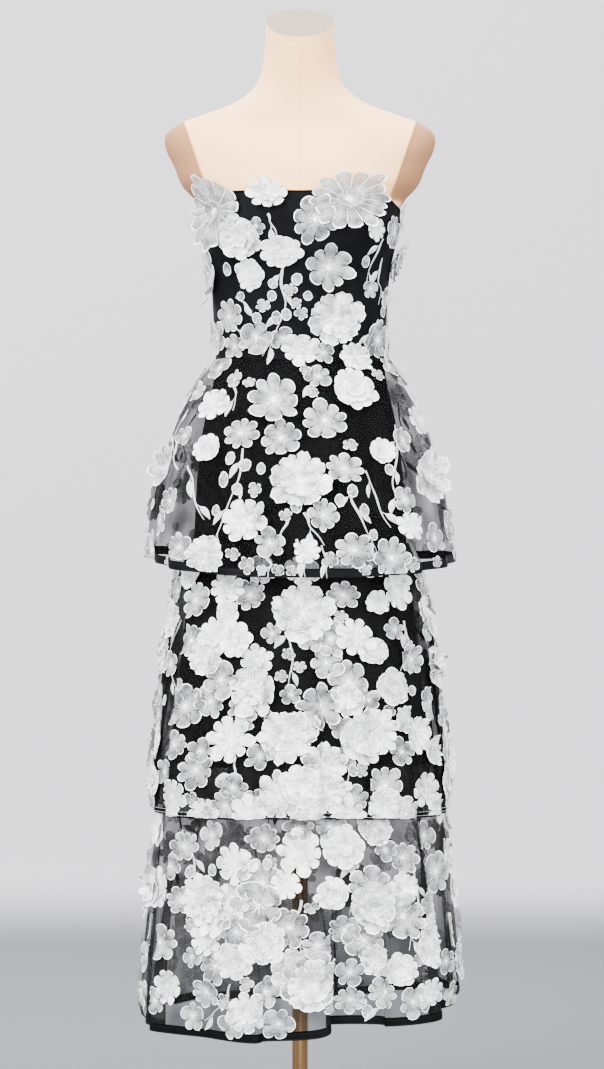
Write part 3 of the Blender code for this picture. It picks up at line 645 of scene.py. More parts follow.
def net_group():
    """Even net: threads along U and V as a mask of where thread lies, and fine grain."""
    outputs = (("Thread", "Float"), ("Grain", "Float"), ("Streaks", "Float"))
    group, entry, leave = new_group("net_threads", (("Vector", "Vector"), ("Scale", "Float")), outputs)
    vector = entry.outputs["Vector"]
    wires = {"Vector": vector, "Scale": entry.outputs["Scale"], "Distortion": 0.3}
    bands = crossed_bands(group, wires, "X", "Y")
    hanging = node(group, "ShaderNodeMapping", {"Vector": vector, "Scale": (46, 9, 1)})
    group.links.new(bands, leave.inputs["Thread"])
    group.links.new(noise(group, vector, 60.0, 2.0), leave.inputs["Grain"])
    group.links.new(noise(group, hanging.outputs[0], 1.0, 3.0), leave.inputs["Streaks"])
    return group


net_threads = net_group()


# Cover that a layer of net gains where it turns edge on in a fold
STEEP_COVER = 0.42
# Cover that it gains in the slow patches where the organza lies on itself
CLOUD_COVER = 0.25
NET_SCALE = 140.0
DULL = {"Roughness": 0.6, "Specular_IOR_Level": 0.0}


def net_cloth(name, dark, pale, cover_least, cover_most, **constants):
    """Black net, whose alpha runs between two values with its streaks and threads, and rises in folds."""
    material, tree, shader = new_material(name, **constants)
    place = node(tree, "ShaderNodeUVMap", uv_map="UVMap").outputs["UV"]
    net = node(tree, "ShaderNodeGroup", node_tree=net_threads)
    tree.links.new(place, net.inputs["Vector"])
    net.inputs["Scale"].default_value = NET_SCALE
    tree.links.new(colour_mix(tree, net.outputs["Grain"], dark, pale), shader.inputs["Base Color"])
    bumped(tree, shader, net.outputs["Thread"], 0.2, 0.0003)
    if cover_most < 1:
        soft_thread = maths(tree, "MULTIPLY", net.outputs["Thread"], 0.12)
        both = maths(tree, "ADD", net.outputs["Streaks"], soft_thread)
        alpha = ranged(tree, both, 0.3, 0.75, cover_least, cover_most)
        steep = node(tree, "ShaderNodeAttribute", attribute_name="steepness").outputs["Fac"]
        crowded = maths(tree, "MULTIPLY", steep, STEEP_COVER)
        clouds = ranged(tree, noise(tree, place, 13.0, 2.0), 0.42, 0.66, 0.0, CLOUD_COVER)
        wires = {0: alpha, 1: maths(tree, "ADD", clouds, crowded)}
        whole = node(tree, "ShaderNodeMath", wires, operation="ADD", use_clamp=True)
        tree.links.new(whole.outputs[0], shader.inputs["Alpha"])
    return material


lining = net_cloth(
    "black_net_on_lining", (0.0010, 0.0010, 0.0012), (0.0040, 0.0040, 0.0045), 1, 1,
    Roughness=0.6, Specular_IOR_Level=0.03,
)

# Share of the bodice's height that laps down over the waist seam
SEAM_LAP = 0.016
# Degrees by which a panel ends short of its seam, and millimetres to a degree near it
PANEL_INSET = 0.01
MM_PER_DEGREE = 2.2
PANEL_COLUMNS, SLIP_COLUMNS, PANEL_ROWS = 48, 84, 44
BODICE_PANELS = {
    "bodice_front": (-PRINCESS_SEAM, PRINCESS_SEAM),
    "bodice_side_left": (PRINCESS_SEAM, 90.0),
    "bodice_side_right": (-90.0, -PRINCESS_SEAM),
    "bodice_back_left": (90.0, 180.0),
    "bodice_back_right": (-180.0, -90.0),
}
for panel_name, (start, end) in BODICE_PANELS.items():
    turns = np.linspace(start + PANEL_INSET, end - PANEL_INSET, PANEL_COLUMNS)
    angle, level = np.meshgrid(turns, np.linspace(-SEAM_LAP, 1, PANEL_ROWS))
    from_edge = np.minimum(angle - start, end - angle) * MM_PER_DEGREE
    dip = SEAM_DIP * np.exp(-((from_edge / SEAM_DIP_WIDTH) ** 2))
    crease = 0.35 * np.sin(level * 60 + angle * 0.12) * np.exp(-((level - 0.08) / 0.09) ** 2)
    outer = offset_points(bodice_surface, angle, level, BODICE_EASE + CLOTH - dip + crease)
    inner = offset_points(bodice_surface, angle, level, np.full(angle.shape, BODICE_EASE))
    panel = shell(f"{panel_name}_cloth", inner, outer, lining, run_uv(outer))
    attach(panel, BODY)
    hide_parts(panel_name)

# Slip: plain black cloth in a front and a back, smooth over the hips and falling free to
# the seam where the third tier hangs from it.
SLIP_HEM = 515.0
HIP = 845.0
# Height, what is added to the half width and to the depth in front and behind, squareness taken off
SLIP_SPREAD = (
    (515, 39.8, 52, 38, 0.15),
    (700, 19.0, 22, 17, 0.1),
    (821, 6.0, 6, 5, 0.0),
    (845, 4.0, 4, 3, 0.0),
    (900, 2.5, 2.5, 2, 0.0),
    (1000, 1.5, 1.5, 1.5, 0.0),
    (1077, 0.6, 0.6, 0.6, 0.0),
)


def slip_surface(angle, height):
    """The form down to the hips, then the hip's section widened towards the hem."""
    at = np.maximum(height, HIP)
    width, front, back = (
        smooth(FORM_SECTIONS, at, column) + smooth(SLIP_SPREAD, height, column) for column in (1, 2, 3)
    )
    squareness = smooth(FORM_SECTIONS, at, 4) - smooth(SLIP_SPREAD, height, 4)
    return section_points(angle, width, front, back, squareness, height)


HALVES = {"front": (-90.0, 90.0), "back": (90.0, 270.0)}
slip_cloth = net_cloth("black_slip", (0.0012, 0.0012, 0.0014), (0.0040, 0.0040, 0.0045), 1, 1, **DULL)
for half_name, (start, end) in HALVES.items():
    turns = np.linspace(start + PANEL_INSET, end - PANEL_INSET, SLIP_COLUMNS)
    heights = np.linspace(WAIST - SEAM_GAP / 2, SLIP_HEM + SEAM_GAP / 2, PANEL_ROWS)
    angle, height = np.meshgrid(turns, heights)
    inner = slip_surface(angle, height)
    outer = offset_points(slip_surface, angle, height, np.full(angle.shape, CLOTH))
    slip = shell(f"slip_{half_name}_cloth", inner, outer, slip_cloth, run_uv(outer))
    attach(slip, BODY)
    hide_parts(f"slip_{half_name}")

# Tiers: three rings of black net, each a front and a back gathered at the seam. Large
# folds open downwards as placed ridges, and fine gathers fade below the seam.
# Share of the tier's length, half width, depth in front, depth behind
TIER_1_SECTIONS = (
    (0.0, 119.8, 88.4, 88.4),
    (0.12, 144, 104, 106),
    (0.23, 162, 119, 122),
    (0.37, 179, 134, 140),
    (0.46, 188, 143, 149),
    (0.63, 200, 158, 165),
    (0.76, 208, 169, 175),
    (0.89, 213.5, 178, 183),
    (1.0, 218, 184, 188),
)
TIER_2_SECTIONS = (
    (0.0, 151.9, 111.1, 127.1),
    (0.12, 172, 135, 146),
    (0.25, 181, 150, 158),
    (0.39, 190, 161, 168),
    (0.5, 194, 167, 174),
    (0.68, 201, 175, 182),
    (0.85, 209, 182, 188),
    (1.0, 210, 186, 191),
)
TIER_3_SECTIONS = (
    (0.0, 183.8, 155, 158),
    (0.1, 190, 160, 163),
    (0.21, 199, 167, 170),
    (0.41, 210, 177, 181),
    (0.56, 213, 182, 186),
    (0.69, 218, 187, 191),
    (0.85, 222, 191, 195),
    (1.0, 223, 194, 198),
)
# Hems: angle from the centre front, height
TIER_1_HEM = ((-180, 790), (-90, 803), (-60, 792), (-30, 778), (0, 775), (30, 777), (60, 786), (90, 796))
TIER_2_HEM = ((-180, 452), (-90, 451), (-45, 447), (0, 450), (45, 446), (90, 449))
TIER_3_HEM = ((-180, 156), (-90, 160), (-48, 154), (-6, 157), (6, 172), (38, 168), (55, 180), (90, 190))
# Folds: angle of the ridge, half span, height at the hem
TIER_1_FOLDS = (
    (-90, 20, 8), (-63, 13, 5), (-47, 12, 9), (-25, 15, 5), (-2, 17, 5), (21, 13, 5), (41, 13, 9),
    (65, 13, 6), (90, 18, 8), (116, 15, 7), (139, 13, 9), (160, 13, 6), (180, 14, 8), (-158, 14, 7),
    (-135, 13, 9), (-114, 13, 6),
)
TIER_2_FOLDS = (
    (-90, 15, 8), (-68, 12, 6), (-46, 13, 10), (-24, 13, 5), (-4, 13, 9), (16, 12, 6), (36, 12, 9),
    (56, 11, 8), (72, 9, 5), (90, 13, 8), (110, 12, 7), (130, 14, 10), (153, 13, 7), (176, 14, 9),
    (-162, 12, 7), (-141, 13, 9), (-117, 14, 8),
)
TIER_3_FOLDS = (
    (-90, 15, 10), (-67, 12, 7), (-47, 13, 14), (-24, 14, 8), (-3, 13, 13), (20, 14, 8), (43, 13, 13),
    (64, 12, 8), (90, 16, 10), (112, 13, 9), (134, 13, 12), (157, 14, 9), (179, 13, 12), (-158, 13, 9),
    (-135, 14, 12), (-112, 13, 8),
)
# Share of the length, and depth of the gathers or part of the folds' height that is reached there
GATHERS = ((0.0, 0.8), (0.07, 3.2), (0.2, 3.4), (0.42, 1.0), (0.6, 0.0), (1.0, 0.0))
FOLD_GROWTH = ((0.0, 0.0), (0.07, 0.08), (0.3, 0.45), (0.6, 0.8), (1.0, 1.0))
HANGING_SQUARENESS = 2.1
TIER_2_SEAM = 821.0
NET_INSET, NET_COLUMNS, NET_ROWS = 0.04, 241, 42
RIBBON_HEIGHT, TURNED_HEM = 12.0, 9.0
# Heights of the two rows of stitches above the hem, and how far they stand off the net
STITCH_ROWS, STITCH_STAND_OFF = (3.0, 8.0), 1.7
FOLD_DEPTH = 1.35


def hem_height(hem, angle):
    return smooth(hem + ((180, hem[0][1]),), wrapped(angle), 1)


def fold_height(folds, angle, leaning=False):
    """Ridges with the profile of a squared cosine, added up round the body.

    Leaning ones are a tenth as high, and signed by the way that their crest leans over its neighbour.
    """
    total = np.zeros_like(np.asarray(angle, float))
    for centre, half_span, height in folds:
        if leaning:
            height = (-1 if centre < -30 or centre > 125 else 1) * height / 10
        away = np.abs(wrapped(angle - centre)) / half_span
        total += np.where(away < 1, height * np.cos(away * math.pi / 2) ** 2, 0)
    return total


class Tier:
    """A gathered ring of net, whose surface is a function of angle and share of its length."""

    def __init__(self, seam, squareness, hem, sections, folds, gathers, unrest, lean):
        self.seam = seam
        self.squareness = squareness
        self.hem = hem
        self.sections = sections
        self.folds = folds
        self.gathers = gathers
        self.unrest = unrest
        self.lean = lean

    def surface(self, angle, share):
        """Sections plus ridges that open downwards and lean sideways, less gathers that crowd unevenly."""
        width, front, back = (smooth(self.sections, share, column) for column in (1, 2, 3))
        height = self.seam + share * (hem_height(self.hem, angle) - self.seam)
        hanging = (self.squareness, HANGING_SQUARENESS, HANGING_SQUARENESS)
        points = section_points(angle, width, front, back, np.interp(share, (0.0, 0.4, 1.0), hanging), height)
        turn = np.radians(angle)
        ridge = fold_height(self.folds, angle) - fold_height(self.folds, np.array(90.0))
        crowded = turn + np.radians(2.4 * np.sin(3 * turn + self.unrest) + 1.4 * np.sin(8 * turn))
        wave = -(1 + np.cos(self.gathers * crowded)) / 2
        fine = 0.35 * np.sin((2.6 * self.gathers) * crowded + 9 * share) * np.exp(-share * 4)
        sway = 0.8 * np.sin(11 * turn + 6 * share + self.unrest) * share * (1.2 - share)
        grown = np.interp(share, *np.transpose(FOLD_GROWTH))
        push = ridge * grown * FOLD_DEPTH + wave * np.interp(share, *np.transpose(GATHERS)) + fine + sway
        aside = spread(np.cos(turn), np.sin(turn), 0.0 * turn)
        tipped = self.lean * grown * fold_height(self.folds, angle, leaning=True)
        return points + push[..., None] * outward(angle) + tipped[..., None] * aside


TIERS = {
    "tier_1": Tier(WAIST - SEAM_GAP / 2, 2.2, TIER_1_HEM, TIER_1_SECTIONS, TIER_1_FOLDS, 18, 0.4, 20),
    "tier_2": Tier(TIER_2_SEAM, 2.3, TIER_2_HEM, TIER_2_SECTIONS, TIER_2_FOLDS, 20, 2.1, 36),
    "tier_3": Tier(SLIP_HEM - SEAM_GAP / 2, 2.15, TIER_3_HEM, TIER_3_SECTIONS, TIER_3_FOLDS, 20, 4.0, 36),
}
# Cut of one half of each tier, in metres, and the alpha of its net at thread gaps and threads
TIER_CUTS = {
    "tier_1": (0.66, 0.30, 0.24, 0.58),
    "tier_2": (0.74, 0.38, 0.46, 0.82),
    "tier_3": (0.77, 0.36, 0.32, 0.62),
}
# Dark and pale tone of each net; the lowest tier's are paler as painted light, for the light that it catches
# from the floor
NET_TONES = {"tier_1": (0.0028, 0.0062), "tier_2": (0.0030, 0.0066), "tier_3": (0.0065, 0.0120)}
# How much of STEEP_COVER each net takes on in its folds
NET_CROWDING = {"tier_1": 1.0, "tier_2": 1.0, "tier_3": 0.15}
ribbon_cloth = net_cloth(
    "satin_ribbon", (0.0010, 0.0010, 0.0011), (0.0030, 0.0030, 0.0033), 1, 1,
    Roughness=0.45, Specular_IOR_Level=0.03,
)


def net_sheet(name, grid, material, uv, crowding):
    """One open layer of net, with an attribute for how far it turns away from level outward."""
    rows, columns = grid.shape[:2]
    round_way, level_way = np.gradient(grid, axis=1), np.gradient(grid, axis=0)
    normal = np.cross(round_way, level_way)
    normal /= np.linalg.norm(normal, axis=2, keepdims=True)
    radial = grid * (1, 1, 0)
    radial /= np.linalg.norm(radial, axis=2, keepdims=True)
    steep = crowding * (1 - np.abs(np.sum(normal * radial, axis=2)))
    faces = grid_faces(rows, columns)
    if np.sum(normal[rows // 2, columns // 2] * radial[rows // 2, columns // 2]) < 0:
        faces = faces[:, ::-1]
    sheet = shown(name, mesh_from(name, grid, faces, uv), material)
    sheet.data.attributes.new("steepness", "FLOAT", "POINT").data.foreach_set("value", steep.ravel())
    return sheet


def band_above_hem(tier, angles, height, stand_off, thickness, rows=5):
    """Inner and outer grids of a strip that lies on the tier just above its hem."""
    length = tier.seam - hem_height(tier.hem, angles)
    shares = 1.0 - np.linspace(height, 0.0, rows)[:, None] / length[None, :]
    angle = np.broadcast_to(angles, shares.shape)
    inner = offset_points(tier.surface, angle, shares, np.full(shares.shape, stand_off))
    round_edge = np.sin(np.linspace(0, 1, rows) * math.pi)[:, None] ** 0.3
    distance = stand_off + thickness * (0.35 + 0.65 * round_edge) + 0 * shares
    return inner, offset_points(tier.surface, angle, shares, distance)


def stitches(tier, start, end, above_hem, stand_off, pitch=3.2, length=2.5, radius=0.22):
    """A row of short threads above the hem, each a slim box of eight points."""
    girth = 2.0 * (tier.sections[-1][1] + tier.sections[-1][2]) * 0.8
    count = int(girth / pitch)
    angles = start + (np.arange(count) + 0.5) * (end - start) / count
    half = (end - start) / count * length / pitch / 2
    share = 1.0 - above_hem / (tier.seam - hem_height(tier.hem, angles))
    off = np.full(count, stand_off)
    ends = [offset_points(tier.surface, angles + sign * half, share, off) for sign in (-1, 1)]
    out = outward(angles)
    up = np.array([0, 0, 1.0])
    ways = ((1, 1), (1, -1), (-1, -1), (-1, 1))
    corners = [end + out * radius * a + up * radius * b for end in ends for a, b in ways]
    points = np.stack(corners, axis=1).reshape(-1, 3)
    quads = np.array([[0, 1, 2, 3], [7, 6, 5, 4], [0, 4, 5, 1], [1, 5, 6, 2], [2, 6, 7, 3], [3, 7, 4, 0]])
    return points, (quads[None] + 8 * np.arange(count)[:, None, None]).reshape(-1, 4)


white_thread, thread_tree, thread_shader = new_material("white_thread", Roughness=0.6)
thread_wires = {"Scale": 300.0, "Vector": object_place(thread_tree)}
thread_tone = node(thread_tree, "ShaderNodeTexNoise", thread_wires).outputs["Fac"]
thread_colour = colour_mix(thread_tree, thread_tone, (0.28, 0.28, 0.28), (0.52, 0.52, 0.51))
thread_tree.links.new(thread_colour, thread_shader.inputs["Base Color"])

for tier_name, tier in TIERS.items():
    cut_width, cut_length, alpha_least, alpha_most = TIER_CUTS[tier_name]
    net_dark, net_pale = NET_TONES[tier_name]
    net = net_cloth(f"{tier_name}_net", (net_dark,) * 3, (net_pale,) * 3, alpha_least, alpha_most, **DULL)
    for half_name, (start, end) in HALVES.items():
        angles = np.linspace(start + NET_INSET, end - NET_INSET, NET_COLUMNS)
        angle, share = np.meshgrid(angles, np.linspace(0.0, 1.0, NET_ROWS))
        outer = tier.surface(angle, share)
        half = net_sheet(f"{tier_name}_{half_name}_net", outer, net, run_uv(outer), NET_CROWDING[tier_name])
        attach(half, BODY)
        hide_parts(f"{tier_name}_{half_name}")
        if tier_name == "tier_2":
            strip_grids = band_above_hem(tier, angles, TURNED_HEM, 0.1, 0.5)
            hem = shell(f"{tier_name}_{half_name}_turned_hem", *strip_grids, net, run_uv(strip_grids[1]))
            threads = joined([stitches(tier, start, end, height, STITCH_STAND_OFF) for height in STITCH_ROWS])
            sewn = shown(f"{tier_name}_{half_name}_stitches", mesh_from("stitches", *threads), white_thread)
            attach(sewn, BODY)
        else:
            strip_grids = band_above_hem(tier, angles, RIBBON_HEIGHT, SEAM_GAP, 1.0)
            hem = shell(f"{tier_name}_{half_name}_ribbon", *strip_grids, ribbon_cloth, run_uv(strip_grids[1]))
            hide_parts(f"{tier_name}_ribbon_{half_name}")
        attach(hem, BODY)

# Flower kinds: dished discs of petals. Organza kinds are sheer inside a satin edge, solid
# kinds are dense stitch in stacked rings, and carnations mix both from petal to petal.
PETAL_THICKNESS = 0.5
TOP_SHARES = np.array([0.0, 0.14, 0.42, 0.7, 0.91, 1.0])
INNER_SHARES = np.array([0.0, 0.5, 0.86, 1.0])
UNDER_SHARES = np.array([0.0, 0.6, 1.0])
# Places across a petal where its rim is read: many by the notch, few by the tip
FINE_PLACES = np.array([0.0, 0.05, 0.16, 0.34, 0.5, 0.66, 0.84, 0.95])
COARSE_PLACES = np.array([0.0, 0.1, 0.32, 0.5, 0.68, 0.9])
SMALL_PLACES = np.array([0.0, 0.14, 0.38, 0.62, 0.86])
# Kind: petals, how far in the notches reach, roundness of the tips, teeth on a tip,
# places across a petal, sizes of its stacked rings, finish
KINDS = {
    "organza": (8, 0.34, 0.27, 0, FINE_PLACES, (1.0,), "sheer"),
    "wild": (5, 0.26, 0.30, 0, FINE_PLACES, (1.0,), "sheer"),
    "daisy": (15, 0.70, 0.40, 0, COARSE_PLACES, (1.0, 0.3), "sheer"),
    "fringe": (12, 0.72, 0.40, 1, FINE_PLACES, (1.0, 0.55), "mixed"),
    "carnation": (8, 0.66, 0.34, 2, FINE_PLACES, (1.0, 0.62), "mixed"),
    "rosette": (9, 0.82, 0.50, 0, COARSE_PLACES, (1.0, 0.7, 0.4), "solid"),
    "dense": (8, 0.60, 0.38, 0, COARSE_PLACES, (1.0, 0.55), "solid"),
    "blossom": (5, 0.46, 0.42, 0, SMALL_PLACES, (1.0,), "sheer"),
    "bud": (3, 0.92, 1.0, 0, SMALL_PLACES, (1.0,), "sheer"),
}
# Power of the share across a petal that widens the satin edge on the small kinds
EDGE_POWERS = {"blossom": 0.5, "bud": 0.4}
# Height of a bud for its width, against that of a flower
BUD_TALL = 1.3
# Steps in U from one stacked ring, and from one flower, to the next
RING_STRIDE, FLOWER_STRIDE = 37.0, 64.0
# Share of a cloth at each sewn edge where flat stitching is drawn in
HEM_KEEP = 0.008
# Share of a tier above its hem over which the flowers are pressed flat
HEM_PRESS = 0.08
# Angles and rows at which the way round each cloth is measured
WALK_ANGLES = np.arange(-230.0, 420.0, 0.75)
WALK_ROWS = 15


class Cloth:
    """A surface that motifs lie on: points from angle and share, carried straight on past its edges."""

    def __init__(self, surface, open_edge, lowest=0.0, band=(2.0, 0.0)):
        self.surface = surface
        self.open_edge = open_edge
        self.lowest = lowest
        self.band_share, self.band_rise = band
        angle, share = np.meshgrid(WALK_ANGLES, np.linspace(0.0, 1.0, WALK_ROWS))
        steps = np.linalg.norm(np.diff(self.surface(angle, share), axis=1), axis=2)
        self.walked = np.concatenate([np.zeros((WALK_ROWS, 1)), np.cumsum(steps, axis=1)], axis=1)

    def walk(self, angle, share, x):
        """Angles reached by going x millimetres round the cloth, over its folds, at each flower's height."""
        reached = np.empty(np.broadcast_shapes(angle.shape, x.shape))
        for number in range(len(reached)):
            row = self.walked[int(round(float(np.clip(share[number, 0, 0], 0, 1)) * (WALK_ROWS - 1)))]
            start = np.interp(angle[number, 0, 0], WALK_ANGLES, row)
            reached[number] = np.interp(start + x[number], row, WALK_ANGLES)
        return reached

    def held_within(self, share):
        """Shares past a sewn edge drawn in to a tenth, as stitching that the edge cuts off."""
        low, high = self.lowest + HEM_KEEP, 1.0 - HEM_KEEP
        share = np.where(share < low, low + (share - low) * 0.1, share)
        return share if self.open_edge else np.where(share > high, high + (share - high) * 0.1, share)

    def pressed(self, share):
        """Share of a flower's height that is left towards the sewn hem."""
        return 1.0 if self.open_edge else np.clip((1.0 - share) / HEM_PRESS, 0.14, 1.0)

    def over_band(self, share):
        """Millimetres that stitching climbs to lie on the ribbon or the turned hem."""
        return self.band_rise * np.clip((share - self.band_share) / 0.008 + 1, 0, 1)

    def points(self, angle, share):
        inside = np.clip(share, self.lowest, 1.0)
        slope = (self.surface(angle, inside + 0.004) - self.surface(angle, inside - 0.004)) / 0.008
        return self.surface(angle, inside) + (share - inside)[..., None] * slope

    def raised(self, angle, share, height):
        """Points moved out along a normal taken over a wide step, so that gathers don't tear petals."""
        rise = 0.02
        inside = np.clip(share, self.lowest + rise, 1.0 - rise)
        return offset_points(self.surface, angle, inside, height, 1.6, rise, self.points(angle, share))

    def spans(self, angle, share):
        """Millimetres for one degree across and for a whole share up, over a stretch as wide as a flower."""
        across = np.linalg.norm(self.points(angle + 5, share) - self.points(angle - 5, share), axis=-1) / 10
        up = self.points(angle, share + 0.04) - self.points(angle, share - 0.04)
        return across, np.linalg.norm(up, axis=-1) / 0.08 * np.sign(up[..., 2])


def bodice_face(angle, share):
    """The bodice's outside, and below the waist the top of the first tier, for stitching across the seam."""
    face = offset_points(bodice_surface, angle, share, np.full(np.shape(angle), BODICE_EASE + CLOTH))
    tier = TIERS["tier_1"]
    tall = smooth(BODICE_TOP, 0.0, 1) - WAIST
    below = np.clip(-share, 0, 1) * tall / (WAIST - hem_height(tier.hem, angle))
    skirt = tier.surface(angle, below) + outward(angle) * 0.5
    return np.where((share < 0)[..., None], skirt, face)


CLOTHS = {"bodice": Cloth(bodice_face, True, -0.12)}
# Share where the ribbon or turned hem of each tier begins, and how far it stands off
HEM_BANDS = {"tier_1": (0.957, 1.5), "tier_2": (0.975, 0.8), "tier_3": (0.964, 1.5)}
for tier_name, tier in TIERS.items():
    CLOTHS[tier_name] = Cloth(tier.surface, False, band=HEM_BANDS[tier_name])


def petal_rings(cloth, kind, spots, seed, sewn_flat=False):
    """All flowers of one kind as one set of points, faces, UV and UV faces.

    The rim's reach is notch + (1 - notch) sin(pi q) ^ roundness, q being the place within
    a petal. Height is lift times reach ^ 1.8, times two slow waves round the flower and a
    chance tilt for each petal, and each petal crowns between its notches.
    """
    petals, notch, roundness, teeth, places, rings, _ = KINDS[kind]
    angle, share, diameter, turn, lift, base, tall = (column[:, None, None] for column in np.transpose(spots))
    chance = np.random.default_rng(seed)
    count = len(spots)
    _, up = cloth.spans(angle, share)
    place = np.tile(places, petals)[None, None, :]
    columns = place.size
    whole = (np.repeat(np.arange(petals), len(places)) + place[0, 0])[None, None, :]
    swell = np.sin(math.pi * place)
    points, faces, uvs, uv_faces = [], [], [], []
    first = uv_first = 0
    for ring_number, ring_size in enumerate(rings):
        warp = 0.5 / petals * np.sin(whole * 2 * math.pi / petals * 2 + chance.uniform(0, 6.2, (count, 1, 1)))
        around = whole * 2 * math.pi / petals + warp * 2 * math.pi / 3 + ring_number * math.pi / petals
        longer = np.repeat(chance.uniform(0.84, 1.08, (count, 1, petals)), len(places), axis=2)
        tilted = np.repeat(chance.uniform(0.55, 1.5, (count, 1, petals)), len(places), axis=2)
        wave_1, wave_2 = chance.uniform(0, 2 * math.pi, (2, count, 1, 1))
        reach = notch + (1 - notch) * swell**roundness
        reach = reach - 0.03 * (1 - np.cos(2 * math.pi * (teeth + 1) * place)) * swell * (teeth > 0)
        reach = reach * (1 + (longer - 1) * swell)
        radius = diameter / 2 * ring_size
        shares_above = TOP_SHARES if ring_number == 0 else INNER_SHARES
        layers = ((shares_above, True),) if sewn_flat else ((shares_above, True), (UNDER_SHARES, False))
        for shares, above in layers:
            rim = shares[None, :, None]
            distance = radius * rim * reach
            x = distance * np.cos(around + turn)
            y = distance * np.sin(around + turn) * tall
            part = rim * reach
            rise = lift * part**1.8 * (1 + 0.45 * np.cos(around - wave_1) + 0.3 * np.cos(2 * around - wave_2))
            rise = rise * (1 + (tilted - 1) * swell)
            crown = radius * (0.024 * swell * rim + 0.012 * np.sin(math.pi * rim) * swell)
            ripple = 0.03 * radius * np.sin(2 * math.pi * 2 * place + 4 * tilted) * rim**3 * (teeth > 0)
            edge = 0.016 * radius * np.exp(-(((rim - 0.91) / 0.07) ** 2))
            dome = 0.05 * radius * np.exp(-((rim / 0.18) ** 2))
            height = base + 0.6 * ring_number + np.maximum(rise, 0) + crown + ripple
            if above:
                height = height + PETAL_THICKNESS + edge + dome
            along_cloth = share + y / up
            if sewn_flat:
                along_cloth = cloth.held_within(along_cloth)
                height = height * cloth.pressed(along_cloth) + cloth.over_band(along_cloth)
            grid = cloth.raised(cloth.walk(angle, share, x), along_cloth, height)
            rows = len(shares)
            points.append(grid.reshape(count, -1, 3))
            faces.append(ring_faces(rows, columns, turned_over=above) + first)
            seam = np.append(whole[0, 0], petals) + RING_STRIDE * ring_number
            edge_way = shares ** EDGE_POWERS.get(kind, 1.0)
            uv = spread(seam[None, :], edge_way[:, None]).reshape(1, -1, 2)
            uvs.append(uv + np.stack([FLOWER_STRIDE * np.arange(count), np.zeros(count)], axis=1)[:, None])
            uv_faces.append(ring_faces(rows, columns, columns + 1, above) + uv_first)
            first += rows * columns
            uv_first += rows * (columns + 1)
        if sewn_flat:
            continue
        top_rim = first - len(UNDER_SHARES) * columns - columns + np.arange(columns)
        low_rim = first - columns + np.arange(columns)
        faces.append(np.stack([top_rim, np.roll(top_rim, -1), np.roll(low_rim, -1), low_rim], axis=1))
        uv_top = uv_first - (len(UNDER_SHARES) + 1) * (columns + 1) + np.arange(columns)
        uv_faces.append(np.stack([uv_top, uv_top + 1, uv_top + 1, uv_top], axis=1))
    faces, uv_faces = np.concatenate(faces), np.concatenate(uv_faces)
    each = np.arange(count)[:, None, None]
    return (
        np.concatenate(points, axis=1).reshape(-1, 3),
        (faces[None] + each * first).reshape(-1, 4),
        np.concatenate(uvs, axis=1).reshape(-1, 2),
        (uv_faces[None] + each * uv_first).reshape(-1, 4),
    )


def flower_piece(name, parts, material):
    """One object from several sets of flowers; the doubled points at each middle are merged."""
    mesh = mesh_from(name, *joined(parts))
    edit = bmesh.new()
    edit.from_mesh(mesh)
    bmesh.ops.remove_doubles(edit, verts=edit.verts, dist=0.000003)
    edit.to_mesh(mesh)
    edit.free()
    return shown(name, mesh, material)


def petal_group():
    """Masks from UV: satin edge, stamens, centre, thread, painted shade towards the notches, chance by petal
    and by flower.
    """
    names = ("Edge", "Stamens", "Centre", "Thread", "Painted_notch_shade", "Chance", "Whole")
    outputs = [(name, "Float") for name in names]
    group, entry, leave = new_group("petal_threads", (("Vector", "Vector"),), outputs)
    split = node(group, "ShaderNodeSeparateXYZ", {0: entry.outputs["Vector"]})
    along_rim, rim = split.outputs["X"], split.outputs["Y"]

    def blend(operation, first, second=0.0):
        return maths(group, operation, first, second)

    def soft(value, low, high):
        return ranged(group, value, low, high, way="SMOOTHSTEP")

    def chance_of(axis, value):
        """An even chance for each whole value."""
        spot = node(group, "ShaderNodeCombineXYZ", {axis: blend("FLOOR", value)})
        return node(group, "ShaderNodeTexWhiteNoise", {"Vector": spot.outputs[0]}).outputs["Value"]

    off = blend("ABSOLUTE", blend("SUBTRACT", blend("FRACT", along_rim), 0.5))
    seam_line = blend("MULTIPLY", soft(off, 0.44, 0.48), soft(rim, 0.1, 0.2))
    stamen_wave = blend("COSINE", blend("MULTIPLY", along_rim, 2 * math.pi * 3))
    masks = (
        blend("MAXIMUM", soft(rim, 0.93, 0.965), seam_line),
        blend("MULTIPLY", soft(stamen_wave, 0.35, 0.9), soft(rim, 0.4, 0.24)),
        soft(rim, 0.17, 0.1),
        blend("COSINE", blend("MULTIPLY", along_rim, 2 * math.pi * 7)),
        # Painted shade: a mask that grows towards the notches between petals
        soft(off, 0.3, 0.5),
        chance_of("X", along_rim),
        chance_of("Y", blend("DIVIDE", along_rim, FLOWER_STRIDE)),
    )
    for name, mask in zip(names, masks):
        group.links.new(mask, leave.inputs[name])
    return group


petal_threads = petal_group()

# Painted light: a glow on a petal's inner side, as a share of its own colour, standing for light that passes
# through the thin cloth
PAINTED_THROUGH_GLOW = 0.35
# Darkest and brightest stitch of each finish
PETAL_TONES = {
    "sheer": ((0.15, 0.15, 0.155), (0.50, 0.50, 0.505)),
    "mixed": ((0.28, 0.28, 0.285), (0.94, 0.94, 0.935)),
    "solid": ((0.28, 0.28, 0.285), (0.94, 0.94, 0.935)),
}
SATIN_WHITE = (0.95, 0.95, 0.945)


